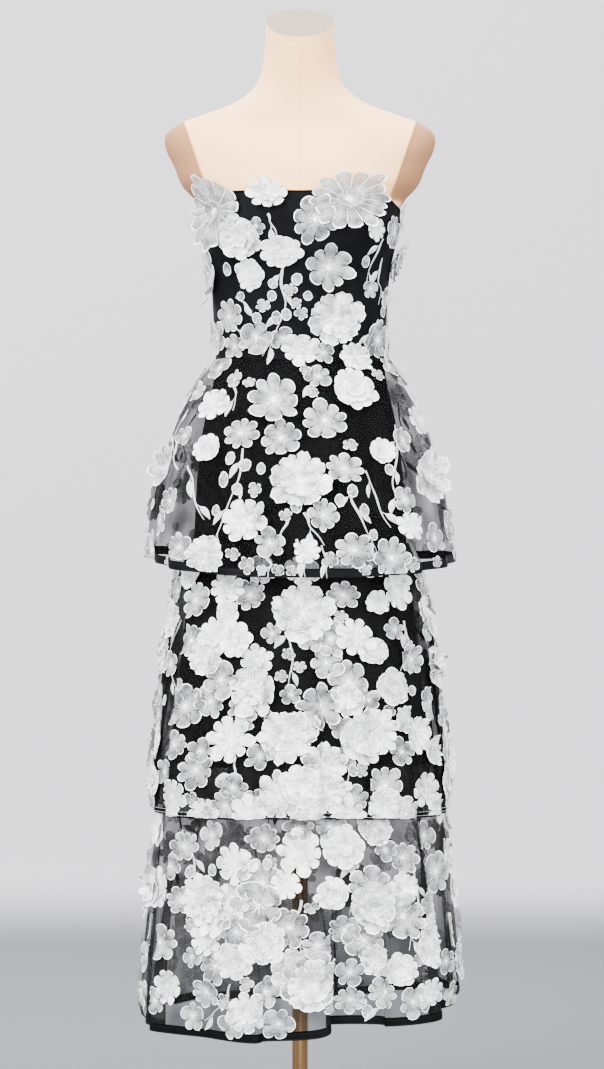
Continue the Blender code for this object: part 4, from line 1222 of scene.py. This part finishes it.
def petal_cloth(name, finish):
    """White petals: sheer ones between satin lines, solid ones in radial thread, mixed ones by chance."""
    material, tree, shader = new_material(name, Roughness=0.62, Specular_IOR_Level=0.25)

    def blend(operation, first, second):
        return maths(tree, operation, first, second)

    masks = node(tree, "ShaderNodeGroup", node_tree=petal_threads)
    tree.links.new(node(tree, "ShaderNodeUVMap", uv_map="UVMap").outputs["UV"], masks.inputs["Vector"])
    place = object_place(tree)
    fine = noise(tree, place, 420.0, 3.0)
    slow = noise(tree, place, 62.0, 2.0)
    lines = blend("MAXIMUM", masks.outputs["Edge"], masks.outputs["Centre"])
    lines = blend("MAXIMUM", lines, masks.outputs["Stamens"])
    if finish == "mixed":
        filled = ranged(tree, masks.outputs["Chance"], 0.42, 0.46)
    else:
        filled = 1.0 if finish == "solid" else 0.0
    tone = blend("ADD", blend("MULTIPLY", slow, 0.9), blend("MULTIPLY", fine, 0.5))
    tone = blend("ADD", tone, blend("MULTIPLY", masks.outputs["Thread"], 0.07))
    # Painted shade: the petal's colour darkens towards the notches between petals
    tone = blend("SUBTRACT", tone, blend("MULTIPLY", masks.outputs["Painted_notch_shade"], 0.34))
    tone = blend("SUBTRACT", tone, blend("MULTIPLY", masks.outputs["Whole"], 0.25))
    body = colour_mix(tree, ranged(tree, tone, 0.34, 0.74), *PETAL_TONES[finish])
    colour = colour_mix(tree, lines, body, SATIN_WHITE)
    tree.links.new(colour, shader.inputs["Base Color"])
    # Painted light: the inner side of each petal glows with its own colour
    inside = node(tree, "ShaderNodeNewGeometry").outputs["Backfacing"]
    tree.links.new(colour_mix(tree, inside, (0, 0, 0), colour), shader.inputs["Emission Color"])
    shader.inputs["Emission Strength"].default_value = PAINTED_THROUGH_GLOW
    relief = blend("ADD", blend("MULTIPLY", fine, 0.7), blend("MULTIPLY", masks.outputs["Thread"], 0.2))
    relief = blend("ADD", relief, blend("MULTIPLY", lines, 0.8))
    bumped(tree, shader, relief, 0.6, 0.0006)
    if finish != "solid":
        thin = ranged(tree, slow, 0.3, 0.7, 0.42, 0.80)
        alpha = node(tree, "ShaderNodeMix", {"Factor": blend("MAXIMUM", lines, filled), "A": thin, "B": 1.0})
        tree.links.new(alpha.outputs["Result"], shader.inputs["Alpha"])
    return material


PETALS = {finish: petal_cloth(f"{finish}_petals", finish) for finish in ("sheer", "mixed", "solid")}

# Raised flowers: the large ones that stand well off the cloth, each sewn on by its middle.
# Each takes its place from its solid and lies on the cloth that carries it.
# Solid: kind, cloth, diameter, turn in degrees, lift of the tips, height for its width
RAISED = {
    "neckline_daisy_right": ("daisy", "bodice", 100, 10, 8, 1.05),
    "neckline_daisy_left": ("daisy", "bodice", 114, 4, 8, 0.74),
    "neckline_scallop": ("dense", "bodice", 62, 20, 6, 0.78),
    "bust_rosette": ("rosette", "bodice", 62, 40, 6, 1.0),
    "bust_organza": ("organza", "bodice", 66, 15, 8, 1.0),
    "waist_carnation": ("carnation", "bodice", 86, 0, 6, 0.94),
    "waist_rosette": ("wild", "bodice", 52, 30, 8, 1.0),
    "side_rosette_right": ("organza", "bodice", 64, 0, 12, 1.0),
    "side_rosette_left": ("fringe", "bodice", 64, 0, 12, 1.0),
    "peplum_daisy": ("organza", "tier_1", 76, 22, 8, 1.0),
    "peplum_organza": ("rosette", "tier_1", 60, 0, 7, 1.0),
    "peplum_carnation": ("carnation", "tier_1", 86, 12, 9, 1.0),
    "peplum_rosette": ("dense", "tier_1", 66, 8, 8, 1.0),
    "peplum_side_left": ("carnation", "tier_1", 80, 0, 11, 1.0),
    "peplum_side_right": ("organza", "tier_1", 60, 0, 11, 1.0),
    "middle_daisy_centre": ("carnation", "tier_2", 88, 0, 9, 1.0),
    "middle_daisy_right": ("dense", "tier_2", 72, 0, 10, 1.0),
    "middle_rosette_left": ("rosette", "tier_2", 72, 0, 9, 1.0),
    "middle_side_left": ("rosette", "tier_2", 66, 0, 10, 1.0),
    "lower_daisy_right": ("fringe", "tier_3", 76, 0, 9, 1.0),
    "lower_rosette_left": ("rosette", "tier_3", 72, 0, 9, 1.0),
    "lower_daisy_centre": ("organza", "tier_3", 84, 0, 8, 1.0),
    "lower_side_right": ("rosette", "tier_3", 68, 0, 10, 1.0),
    "back_bodice_daisy": ("organza", "bodice", 76, 0, 8, 1.0),
    "back_peplum_daisy": ("carnation", "tier_1", 78, 0, 9, 1.0),
    "back_middle_daisy": ("organza", "tier_2", 78, 0, 9, 1.0),
    "back_lower_rosette": ("carnation", "tier_3", 76, 0, 9, 1.0),
}


def nearest_on(cloth_name, point):
    """Angle and share of the cloth's point nearest to a place, all the way round."""
    angle, share = np.meshgrid(np.linspace(-180, 179, 360), np.linspace(0, 1, 101))
    gap = np.sum((CLOTHS[cloth_name].points(angle, share) - point) ** 2, axis=-1)
    best = np.argmin(gap)
    return angle.ravel()[best], share.ravel()[best]


# Flowers already placed on each cloth, as angle, share, diameter
taken = {cloth_name: [] for cloth_name in CLOTHS}
for number, (node_name, (kind, cloth_name, diameter, turn, lift, tall)) in enumerate(RAISED.items()):
    low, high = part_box(node_name)
    angle, share = nearest_on(cloth_name, (np.array(low) + np.array(high)) / 2 / MM)
    taken[cloth_name].append((angle, share, diameter))
    spot = np.array([[angle, share, diameter, math.radians(turn), lift, 1.0, tall]])
    petals = petal_rings(CLOTHS[cloth_name], kind, spot, number)
    raised = flower_piece(f"{node_name}_petals", [petals], PETALS[KINDS[kind][-1]])
    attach(raised, BODY)
    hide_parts(node_name)

# Smaller flowers: the rest of the applique and embroidery. On the front each is placed by
# the pixel of the photograph where its middle shows, in kind, not traced.
# Kind: pixel across, pixel down, diameter in pixels
FRONT_FLOWERS = {
    "bodice": {
        "organza": (
            (316, 219, 48), (403, 216, 44), (209, 272, 50), (230, 317, 38), (378, 340, 40), (393, 233, 36),
        ),
        "wild": ((284, 339, 28), (322, 353, 26), (236, 347, 26), (370, 288, 22), (256, 226, 18)),
        "rosette": ((282, 251, 41), (250, 274, 31)),
        "dense": ((302, 350, 38), (376, 229, 24)),
        "fringe": ((403, 268, 42), (354, 357, 34)),
        "blossom": (
            (264, 306, 16), (290, 290, 15), (296, 303, 13), (301, 313, 14), (262, 345, 14), (246, 247, 14),
        ),
        "bud": (
            (272, 296, 10), (286, 314, 11), (273, 283, 10), (297, 279, 12), (229, 269, 12), (308, 296, 9),
            (277, 318, 10), (258, 318, 10), (365, 262, 10), (358, 306, 9), (382, 312, 10), (241, 296, 9),
        ),
    },
    "tier_1": {
        "organza": (
            (280, 439, 43), (324, 421, 46), (344, 470, 37), (324, 515, 34), (171, 501, 33), (355, 551, 40),
            (391, 558, 42), (242, 434, 37), (416, 405, 32), (180, 548, 34),
        ),
        "wild": (
            (220, 368, 34), (271, 543, 32), (318, 378, 26), (196, 392, 28), (186, 436, 26), (402, 440, 28),
            (404, 500, 26), (434, 538, 30), (236, 380, 22), (160, 520, 28),
        ),
        "dense": ((213, 405, 41), (352, 383, 39), (410, 527, 34), (306, 552, 26)),
        "rosette": ((209, 448, 29), (382, 452, 30)),
        "fringe": ((206, 555, 46),),
        "blossom": (
            (255, 490, 15), (312, 394, 14), (350, 446, 15), (286, 515, 14), (233, 555, 16), (330, 560, 18),
            (378, 375, 16), (250, 384, 14), (306, 372, 13), (167, 563, 14), (247, 566, 16), (279, 570, 14),
            (412, 564, 18), (292, 571, 13), (262, 570, 12), (366, 570, 14), (436, 562, 14),
        ),
        "bud": (
            (231, 459, 11), (245, 466, 12), (224, 480, 12), (237, 489, 11), (352, 492, 11), (364, 510, 10),
            (297, 507, 12), (262, 470, 10), (390, 470, 10), (341, 500, 10), (372, 536, 10), (216, 510, 10),
        ),
    },
    "tier_2": {
        "organza": (
            (251, 596, 32), (342, 596, 34), (196, 600, 40), (348, 681, 44), (187, 706, 46), (319, 706, 46),
            (196, 770, 40), (212, 702, 36), (386, 786, 40), (330, 640, 34), (262, 572, 34), (370, 566, 34),
            (192, 640, 36), (410, 660, 34), (244, 706, 32), (430, 702, 34), (346, 730, 32), (176, 744, 32),
            (350, 800, 36), (226, 806, 34),
        ),
        "wild": (
            (272, 633, 24), (309, 640, 30), (223, 680, 44), (325, 664, 38), (260, 755, 30), (234, 788, 34),
            (348, 755, 26), (394, 630, 28), (340, 566, 28), (178, 590, 30), (202, 751, 30), (292, 694, 22),
            (401, 752, 30), (172, 664, 28), (424, 632, 26), (256, 800, 30), (166, 772, 28), (368, 700, 26),
        ),
        "dense": (
            (397, 592, 40), (228, 588, 38), (354, 638, 42), (230, 739, 50), (173, 797, 36), (424, 790, 38),
            (257, 660, 34), (258, 688, 40), (422, 608, 32), (302, 572, 40), (398, 570, 34), (280, 797, 50),
            (166, 812, 34), (204, 814, 36), (248, 816, 40), (312, 818, 44), (350, 816, 36), (404, 814, 38),
            (440, 808, 34),
        ),
        "rosette": (
            (228, 613, 28), (216, 640, 38), (302, 786, 44), (236, 640, 34), (394, 687, 40), (436, 752, 36),
            (377, 602, 26), (372, 650, 34), (190, 572, 34), (155, 780, 30),
        ),
        "fringe": ((283, 737, 54), (371, 732, 52), (322, 764, 50), (348, 700, 34), (406, 720, 30)),
        "carnation": ((206, 660, 40), (416, 734, 40), (330, 792, 44), (384, 806, 40), (298, 730, 40)),
        "blossom": (
            (290, 654, 14), (283, 676, 14), (340, 618, 16), (408, 644, 16), (246, 725, 16), (180, 684, 14),
            (388, 712, 16), (440, 720, 16), (300, 668, 13), (360, 770, 16), (192, 800, 18), (206, 812, 16),
        ),
        "bud": (
            (278, 610, 10), (296, 622, 10), (164, 700, 10), (412, 690, 10), (352, 770, 10), (268, 716, 10),
        ),
    },
    "tier_3": {
        "organza": (
            (264, 839, 36), (371, 888, 56), (433, 872, 46), (403, 917, 52), (290, 927, 42), (238, 932, 40),
            (215, 966, 36), (208, 992, 34), (384, 992, 38), (160, 943, 42), (364, 940, 46), (344, 930, 34),
            (402, 858, 36), (186, 846, 32), (432, 905, 36), (350, 1000, 32), (180, 900, 34), (330, 826, 32),
            (262, 882, 52),
        ),
        "wild": (
            (258, 905, 60), (213, 836, 30), (319, 946, 30), (267, 992, 34), (280, 1024, 38), (351, 972, 30),
            (423, 836, 32), (192, 956, 22), (300, 960, 26), (446, 962, 28), (172, 866, 28), (300, 830, 30),
            (232, 1024, 30), (413, 1002, 32), (450, 994, 26), (156, 1000, 28), (196, 1016, 28),
            (384, 850, 28),
        ),
        "dense": (
            (236, 865, 46), (302, 852, 42), (159, 888, 44), (208, 940, 36), (434, 930, 40), (247, 1013, 40),
            (429, 992, 34), (169, 986, 36), (288, 884, 34),
        ),
        "rosette": (
            (342, 846, 44), (264, 943, 50), (400, 971, 37), (330, 892, 42), (290, 972, 40), (236, 962, 40),
        ),
        "fringe": ((374, 829, 40), (205, 898, 54), (432, 948, 40), (376, 960, 36)),
        "carnation": ((316, 985, 56), (404, 888, 38), (232, 900, 38)),
        "blossom": (
            (192, 925, 16), (310, 908, 15), (352, 866, 15), (246, 984, 15), (416, 960, 15), (330, 1006, 18),
            (270, 862, 15), (224, 1002, 16),
        ),
        "bud": (
            (190, 872, 10), (300, 1000, 10), (366, 1012, 11), (214, 870, 10), (424, 1006, 10), (356, 910, 10),
        ),
    },
}
# Small flowers lie stacked in steps above the cloth, so that no two meet in one plane
STACK_FOOT, STACK_STEPS, STACK_RISE = 0.8, 6, 0.65
# Lift of a small flower's tips for its diameter
LIFT_SHARE = {"bodice": 0.03, "tier_1": 0.04, "tier_2": 0.055, "tier_3": 0.055}


def seen_at(points):
    """Photograph pixels of points in millimetres, by the level camera's perspective."""
    away = points[..., 1] - EYE[1]
    scale = -EYE[1] / MM_PER_PIXEL / away
    x = PHOTO_WIDTH / 2 + (points[..., 0] - EYE[0]) * scale
    y = PHOTO_HEIGHT / 2 - (points[..., 2] - EYE[2]) * scale
    return np.stack([x, y], axis=-1)


# Where each cloth's front shows in the photograph
looked_up = {}
for cloth_name, cloth in CLOTHS.items():
    angle, share = np.meshgrid(np.linspace(-92, 92, 277), np.linspace(-0.03, 1.03, 160))
    points = cloth.points(angle, share)
    pixels = seen_at(points).reshape(-1, 2)
    looked_up[cloth_name] = (angle.ravel(), share.ravel(), pixels, points[..., 1].ravel())


def under_pixel(cloth_name, x, y):
    """Angle and share of the cloth's front that the camera sees at a pixel, or nearest to it."""
    angles, shares, pixels, depths = looked_up[cloth_name]
    off = np.linalg.norm(pixels - (x, y), axis=1)
    nearest = np.argmin(np.maximum(off - 2.0, 0) + 0.02 * off + 0.01 * depths)
    return angles[nearest], shares[nearest]


placed = {cloth_name: {kind: [] for kind in KINDS} for cloth_name in CLOTHS}
for cloth_name, kinds in FRONT_FLOWERS.items():
    for kind, rows in kinds.items():
        for x, y, pixels in rows:
            spot = (*under_pixel(cloth_name, x, y), pixels * MM_PER_PIXEL)
            taken[cloth_name].append(spot)
            placed[cloth_name][kind].append(spot)

# Hidden sides: the same flowers scattered at the front's density, each new one where it
# lies furthest from its neighbours.
BACK_COUNTS = {"bodice": 38, "tier_1": 62, "tier_2": 100, "tier_3": 88}
BACK_KINDS = {
    "bodice": ("organza", "rosette", "wild", "bud", "blossom", "dense", "bud"),
    "tier_1": ("rosette", "organza", "wild", "blossom", "dense", "bud", "organza"),
    "tier_2": ("dense", "organza", "wild", "carnation", "rosette", "organza", "fringe"),
    "tier_3": ("organza", "wild", "rosette", "organza", "dense", "wild", "fringe"),
}
KIND_SIZES = {
    "organza": 56, "wild": 46, "rosette": 54, "carnation": 62,
    "fringe": 60, "blossom": 22, "dense": 54, "bud": 15,
}
# Angles and shares between which the flowers behind are scattered, and the places tried for each
BACK_ANGLES, BACK_SHARES, BACK_TRIES = (70, 290), (0.03, 0.99), 60
chance = np.random.default_rng(7)
for cloth_name, count in BACK_COUNTS.items():
    cloth = CLOTHS[cloth_name]
    for number in range(count):
        kind = BACK_KINDS[cloth_name][number % len(BACK_KINDS[cloth_name])]
        diameter = KIND_SIZES[kind] * chance.uniform(0.85, 1.15)
        tries = np.stack([chance.uniform(*ends, BACK_TRIES) for ends in (BACK_ANGLES, BACK_SHARES)], axis=1)
        spots = cloth.points(tries[:, 0], tries[:, 1])
        others = np.array(taken[cloth_name])
        away = np.linalg.norm(spots[:, None] - cloth.points(others[:, 0], others[:, 1])[None], axis=2)
        spot = (*tries[np.argmax(np.min(away - others[None, :, 2] / 2, axis=1))], diameter)
        taken[cloth_name].append(spot)
        placed[cloth_name][kind].append(spot)

for cloth_number, (cloth_name, kinds) in enumerate(placed.items()):
    for finish, petal_material in PETALS.items():
        parts = []
        for kind_number, (kind, rows) in enumerate(kinds.items()):
            if rows and KINDS[kind][-1] == finish:
                rows = np.array(rows)
                seed = 100 * cloth_number + kind_number
                chance = np.random.default_rng(seed)
                turn = chance.uniform(0, 2 * math.pi, len(rows))
                lift = rows[:, 2] * LIFT_SHARE[cloth_name]
                base = STACK_FOOT + STACK_RISE * ((np.arange(len(rows)) * 2 + kind_number) % STACK_STEPS)
                tall = chance.uniform(0.82, 1.1, len(rows)) * (BUD_TALL if kind == "bud" else 1.0)
                spots = np.column_stack([rows, turn, lift, base, tall])
                parts.append(petal_rings(CLOTHS[cloth_name], kind, spots, seed, sewn_flat=True))
        small = flower_piece(f"{cloth_name}_{finish}_flowers", parts, petal_material)
        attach(small, BODY)

# Vines: embroidered stems with leaves, lying flat on the net.
VINE_WIDTH = 1.5
# Points along a stem, along a leaf and round a ridge of thread, and millimetres from leaf to leaf
STEM_POINTS, LEAF_POINTS, RIDGE_POINTS, LEAF_SPACING = 26, 10, 5, 34
# Cloth, then pixels that the stem passes through on the front
FRONT_VINES = (
    ("bodice", (284, 262), (281, 285), (286, 305), (276, 330), (262, 356)),
    ("bodice", (268, 214), (272, 224), (278, 236)),
    ("bodice", (236, 297), (243, 302), (252, 311)),
    ("bodice", (232, 325), (244, 335), (248, 345)),
    ("bodice", (385, 239), (380, 250), (371, 266), (366, 290)),
    ("bodice", (384, 259), (381, 270), (378, 281), (383, 290), (380, 305)),
    ("bodice", (380, 320), (372, 335), (366, 350)),
    ("tier_1", (243, 448), (238, 480), (224, 515), (213, 543)),
    ("tier_1", (187, 466), (194, 480), (192, 498), (203, 520)),
    ("tier_1", (366, 470), (372, 485), (378, 505), (391, 528)),
    ("tier_1", (351, 487), (353, 505), (366, 528), (377, 552)),
    ("tier_1", (316, 366), (314, 382), (318, 398)),
    ("tier_1", (232, 384), (236, 396), (232, 410)),
    ("tier_1", (305, 512), (312, 528), (324, 545)),
    ("tier_1", (288, 520), (282, 536), (276, 555)),
    ("tier_1", (297, 539), (302, 556), (306, 576)),
    ("tier_1", (321, 545), (326, 560), (327, 579)),
    ("tier_1", (262, 552), (270, 566), (267, 578)),
    ("tier_1", (395, 425), (396, 455), (394, 485), (400, 505)),
    ("tier_1", (178, 470), (172, 440), (182, 415)),
    ("tier_2", (180, 620), (168, 655), (176, 690)),
    ("tier_2", (290, 620), (292, 650), (288, 690)),
    ("tier_2", (404, 620), (408, 655), (400, 700)),
    ("tier_2", (236, 760), (232, 775), (222, 790)),
    ("tier_2", (345, 745), (352, 765), (346, 785)),
    ("tier_3", (182, 830), (196, 870), (184, 920)),
    ("tier_3", (300, 900), (296, 930), (304, 960)),
    ("tier_3", (352, 850), (356, 880), (350, 915)),
    ("tier_3", (412, 850), (418, 900), (410, 950)),
    ("tier_3", (372, 985), (380, 1005), (368, 1018)),
    ("tier_3", (230, 985), (222, 1005), (206, 1020)),
)


def along(points, count):
    """A Catmull-Rom curve through points, read at even steps."""
    points = np.asarray(points, float)
    padded = np.concatenate([[2 * points[0] - points[1]], points, [2 * points[-1] - points[-2]]])
    at = np.linspace(0, len(points) - 1, count)
    left = np.minimum(at.astype(int), len(points) - 2)
    part = (at - left)[:, None]
    before, start, end, after = (padded[left + shift] for shift in range(4))
    return 0.5 * (
        2 * start
        + (end - before) * part
        + (2 * before - 5 * start + 4 * end - after) * part**2
        + (3 * start - before - 3 * end + after) * part**3
    )


def strip(cloth, route, half_width, height):
    """A low ridge of thread: half an ellipse carried along a route of angle and share, with a flat floor."""
    across, up = cloth.spans(route[:, 0], np.clip(route[:, 1], 0.05, 0.95))
    flat = np.stack([route[:, 0] * across.mean(), route[:, 1] * up.mean()], axis=1)
    ahead = np.gradient(flat, axis=0)
    ahead /= np.linalg.norm(ahead, axis=1, keepdims=True)
    side = np.stack([-ahead[:, 1], ahead[:, 0]], axis=1)
    turn = np.linspace(0, math.pi, RIDGE_POINTS)
    width = np.asarray(half_width, float) * np.ones(len(route))
    offset = width[:, None] * np.cos(turn)[None, :]
    lift = height * np.sin(turn)[None, :] * np.minimum(width / width.max(), 1)[:, None] + 0.3
    angle = route[:, 0, None] + offset * side[:, 0, None] / across.mean()
    share = route[:, 1, None] + offset * side[:, 1, None] / up.mean()
    top = cloth.raised(angle, share, lift + cloth.over_band(share))
    rows, columns = len(route), RIDGE_POINTS
    low = np.arange(rows - 1) * columns
    floor = np.stack([low, low + columns, low + 2 * columns - 1, low + columns - 1], axis=1)
    faces = np.concatenate([grid_faces(rows, columns), floor])
    along_route, across_route = np.meshgrid(np.arange(rows), np.arange(columns), indexing="ij")
    uv = np.stack([across_route / (columns - 1), along_route / (rows - 1)], axis=-1).reshape(-1, 2)
    return top.reshape(-1, 3), faces, uv


def sprig(cloth, route, seed):
    """A winding stem that swells and thins, with leaves on short stalks at alternate sides."""
    chance = np.random.default_rng(seed)
    part = np.linspace(0, 1, len(route))
    taper = np.clip(1.25 - part, 0.3, 1.0) * (1 + 0.25 * np.sin(9 * part + seed))
    winding = 0.55 * np.sin(part * 2 * math.pi * 1.4 + seed) * np.sin(math.pi * part)
    route = route + np.stack([winding, 0 * winding], axis=1)
    parts = [strip(cloth, route, VINE_WIDTH * taper, 0.8)]
    across, up = cloth.spans(route[:, 0], np.clip(route[:, 1], 0.05, 0.95))
    steps_across, steps_up = np.gradient(route[:, 0]) * across, np.gradient(route[:, 1]) * up
    count = max(1, int(np.hypot(steps_across, steps_up).sum() / LEAF_SPACING))
    for index in range(count):
        at = int((index + 0.55) / count * (len(route) - 1))
        way = 1 if index % 2 else -1
        heading = math.atan2(steps_up[at], steps_across[at]) + way * (0.8 + chance.uniform(-0.2, 0.2))
        size = chance.uniform(20, 30)
        steps = np.linspace(0, 1, LEAF_POINTS)
        bend = 0.34 * size * steps**2 * -way
        x = steps * size * math.cos(heading) - bend * math.sin(heading)
        y = steps * size * math.sin(heading) + bend * math.cos(heading)
        leaf_route = np.stack([route[at, 0] + x / across[at], route[at, 1] + y / up[at]], axis=1)
        leaf_width = 0.5 + size * 0.15 * np.sin(math.pi * np.clip((steps - 0.25) / 0.75, 0, 1) ** 0.8)
        parts.append(strip(cloth, leaf_route, leaf_width, 1.0))
    return parts


def vine_thread():
    """Satin thread: brighter towards the edges of leaves, with a fine grain as bump."""
    material, tree, shader = new_material("vine_thread", Roughness=0.55, Specular_IOR_Level=0.3)
    uv = node(tree, "ShaderNodeUVMap", uv_map="UVMap").outputs["UV"]
    across = node(tree, "ShaderNodeSeparateXYZ", {0: uv}).outputs["X"]
    off = maths(tree, "ABSOLUTE", maths(tree, "SUBTRACT", across, 0.5))
    grain = noise(tree, object_place(tree), 160.0, 3.0)
    tone = maths(tree, "ADD", ranged(tree, off, 0.15, 0.4), grain)
    colour = colour_mix(tree, tone, (0.20, 0.20, 0.205), (0.72, 0.72, 0.72))
    tree.links.new(colour, shader.inputs["Base Color"])
    bumped(tree, shader, grain, 0.5, 0.0005)
    return material


vine_parts = {cloth_name: [] for cloth_name in CLOTHS}
for number, (cloth_name, *pixels) in enumerate(FRONT_VINES):
    spots = np.array([under_pixel(cloth_name, x, y) for x, y in pixels])
    vine_parts[cloth_name] += sprig(CLOTHS[cloth_name], along(spots, STEM_POINTS), number)
BACK_VINES = {"bodice": 7, "tier_1": 11, "tier_2": 10, "tier_3": 10}
for cloth_name, count in BACK_VINES.items():
    for number in range(count):
        start = np.array([92 + (number + 0.5) * 176 / count, chance.uniform(0.15, 0.45)])
        drift = np.array([[0, 0], [5, 0.12], [-3, 0.24], [3, 0.36]]) * (1 if number % 2 else -1, 1)
        vine_parts[cloth_name] += sprig(CLOTHS[cloth_name], along(start + drift, STEM_POINTS), 200 + number)
satin_thread = vine_thread()
for cloth_name, parts in vine_parts.items():
    mesh = mesh_from(f"{cloth_name}_vines", *joined(parts))
    vines = shown(f"{cloth_name}_vines", mesh, satin_thread)
    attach(vines, BODY)

# Zip: a small enamelled slider at the top of the centre back, and its pull tab.
enamel = metal("black_enamel", (0.015, 0.015, 0.016), (0.03, 0.03, 0.032), 0.35, (8, 8, 8))
for zip_node in ("zip_slider", "zip_pull"):
    zip_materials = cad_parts[zip_node].data.materials
    zip_materials.clear()
    zip_materials.append(enamel)
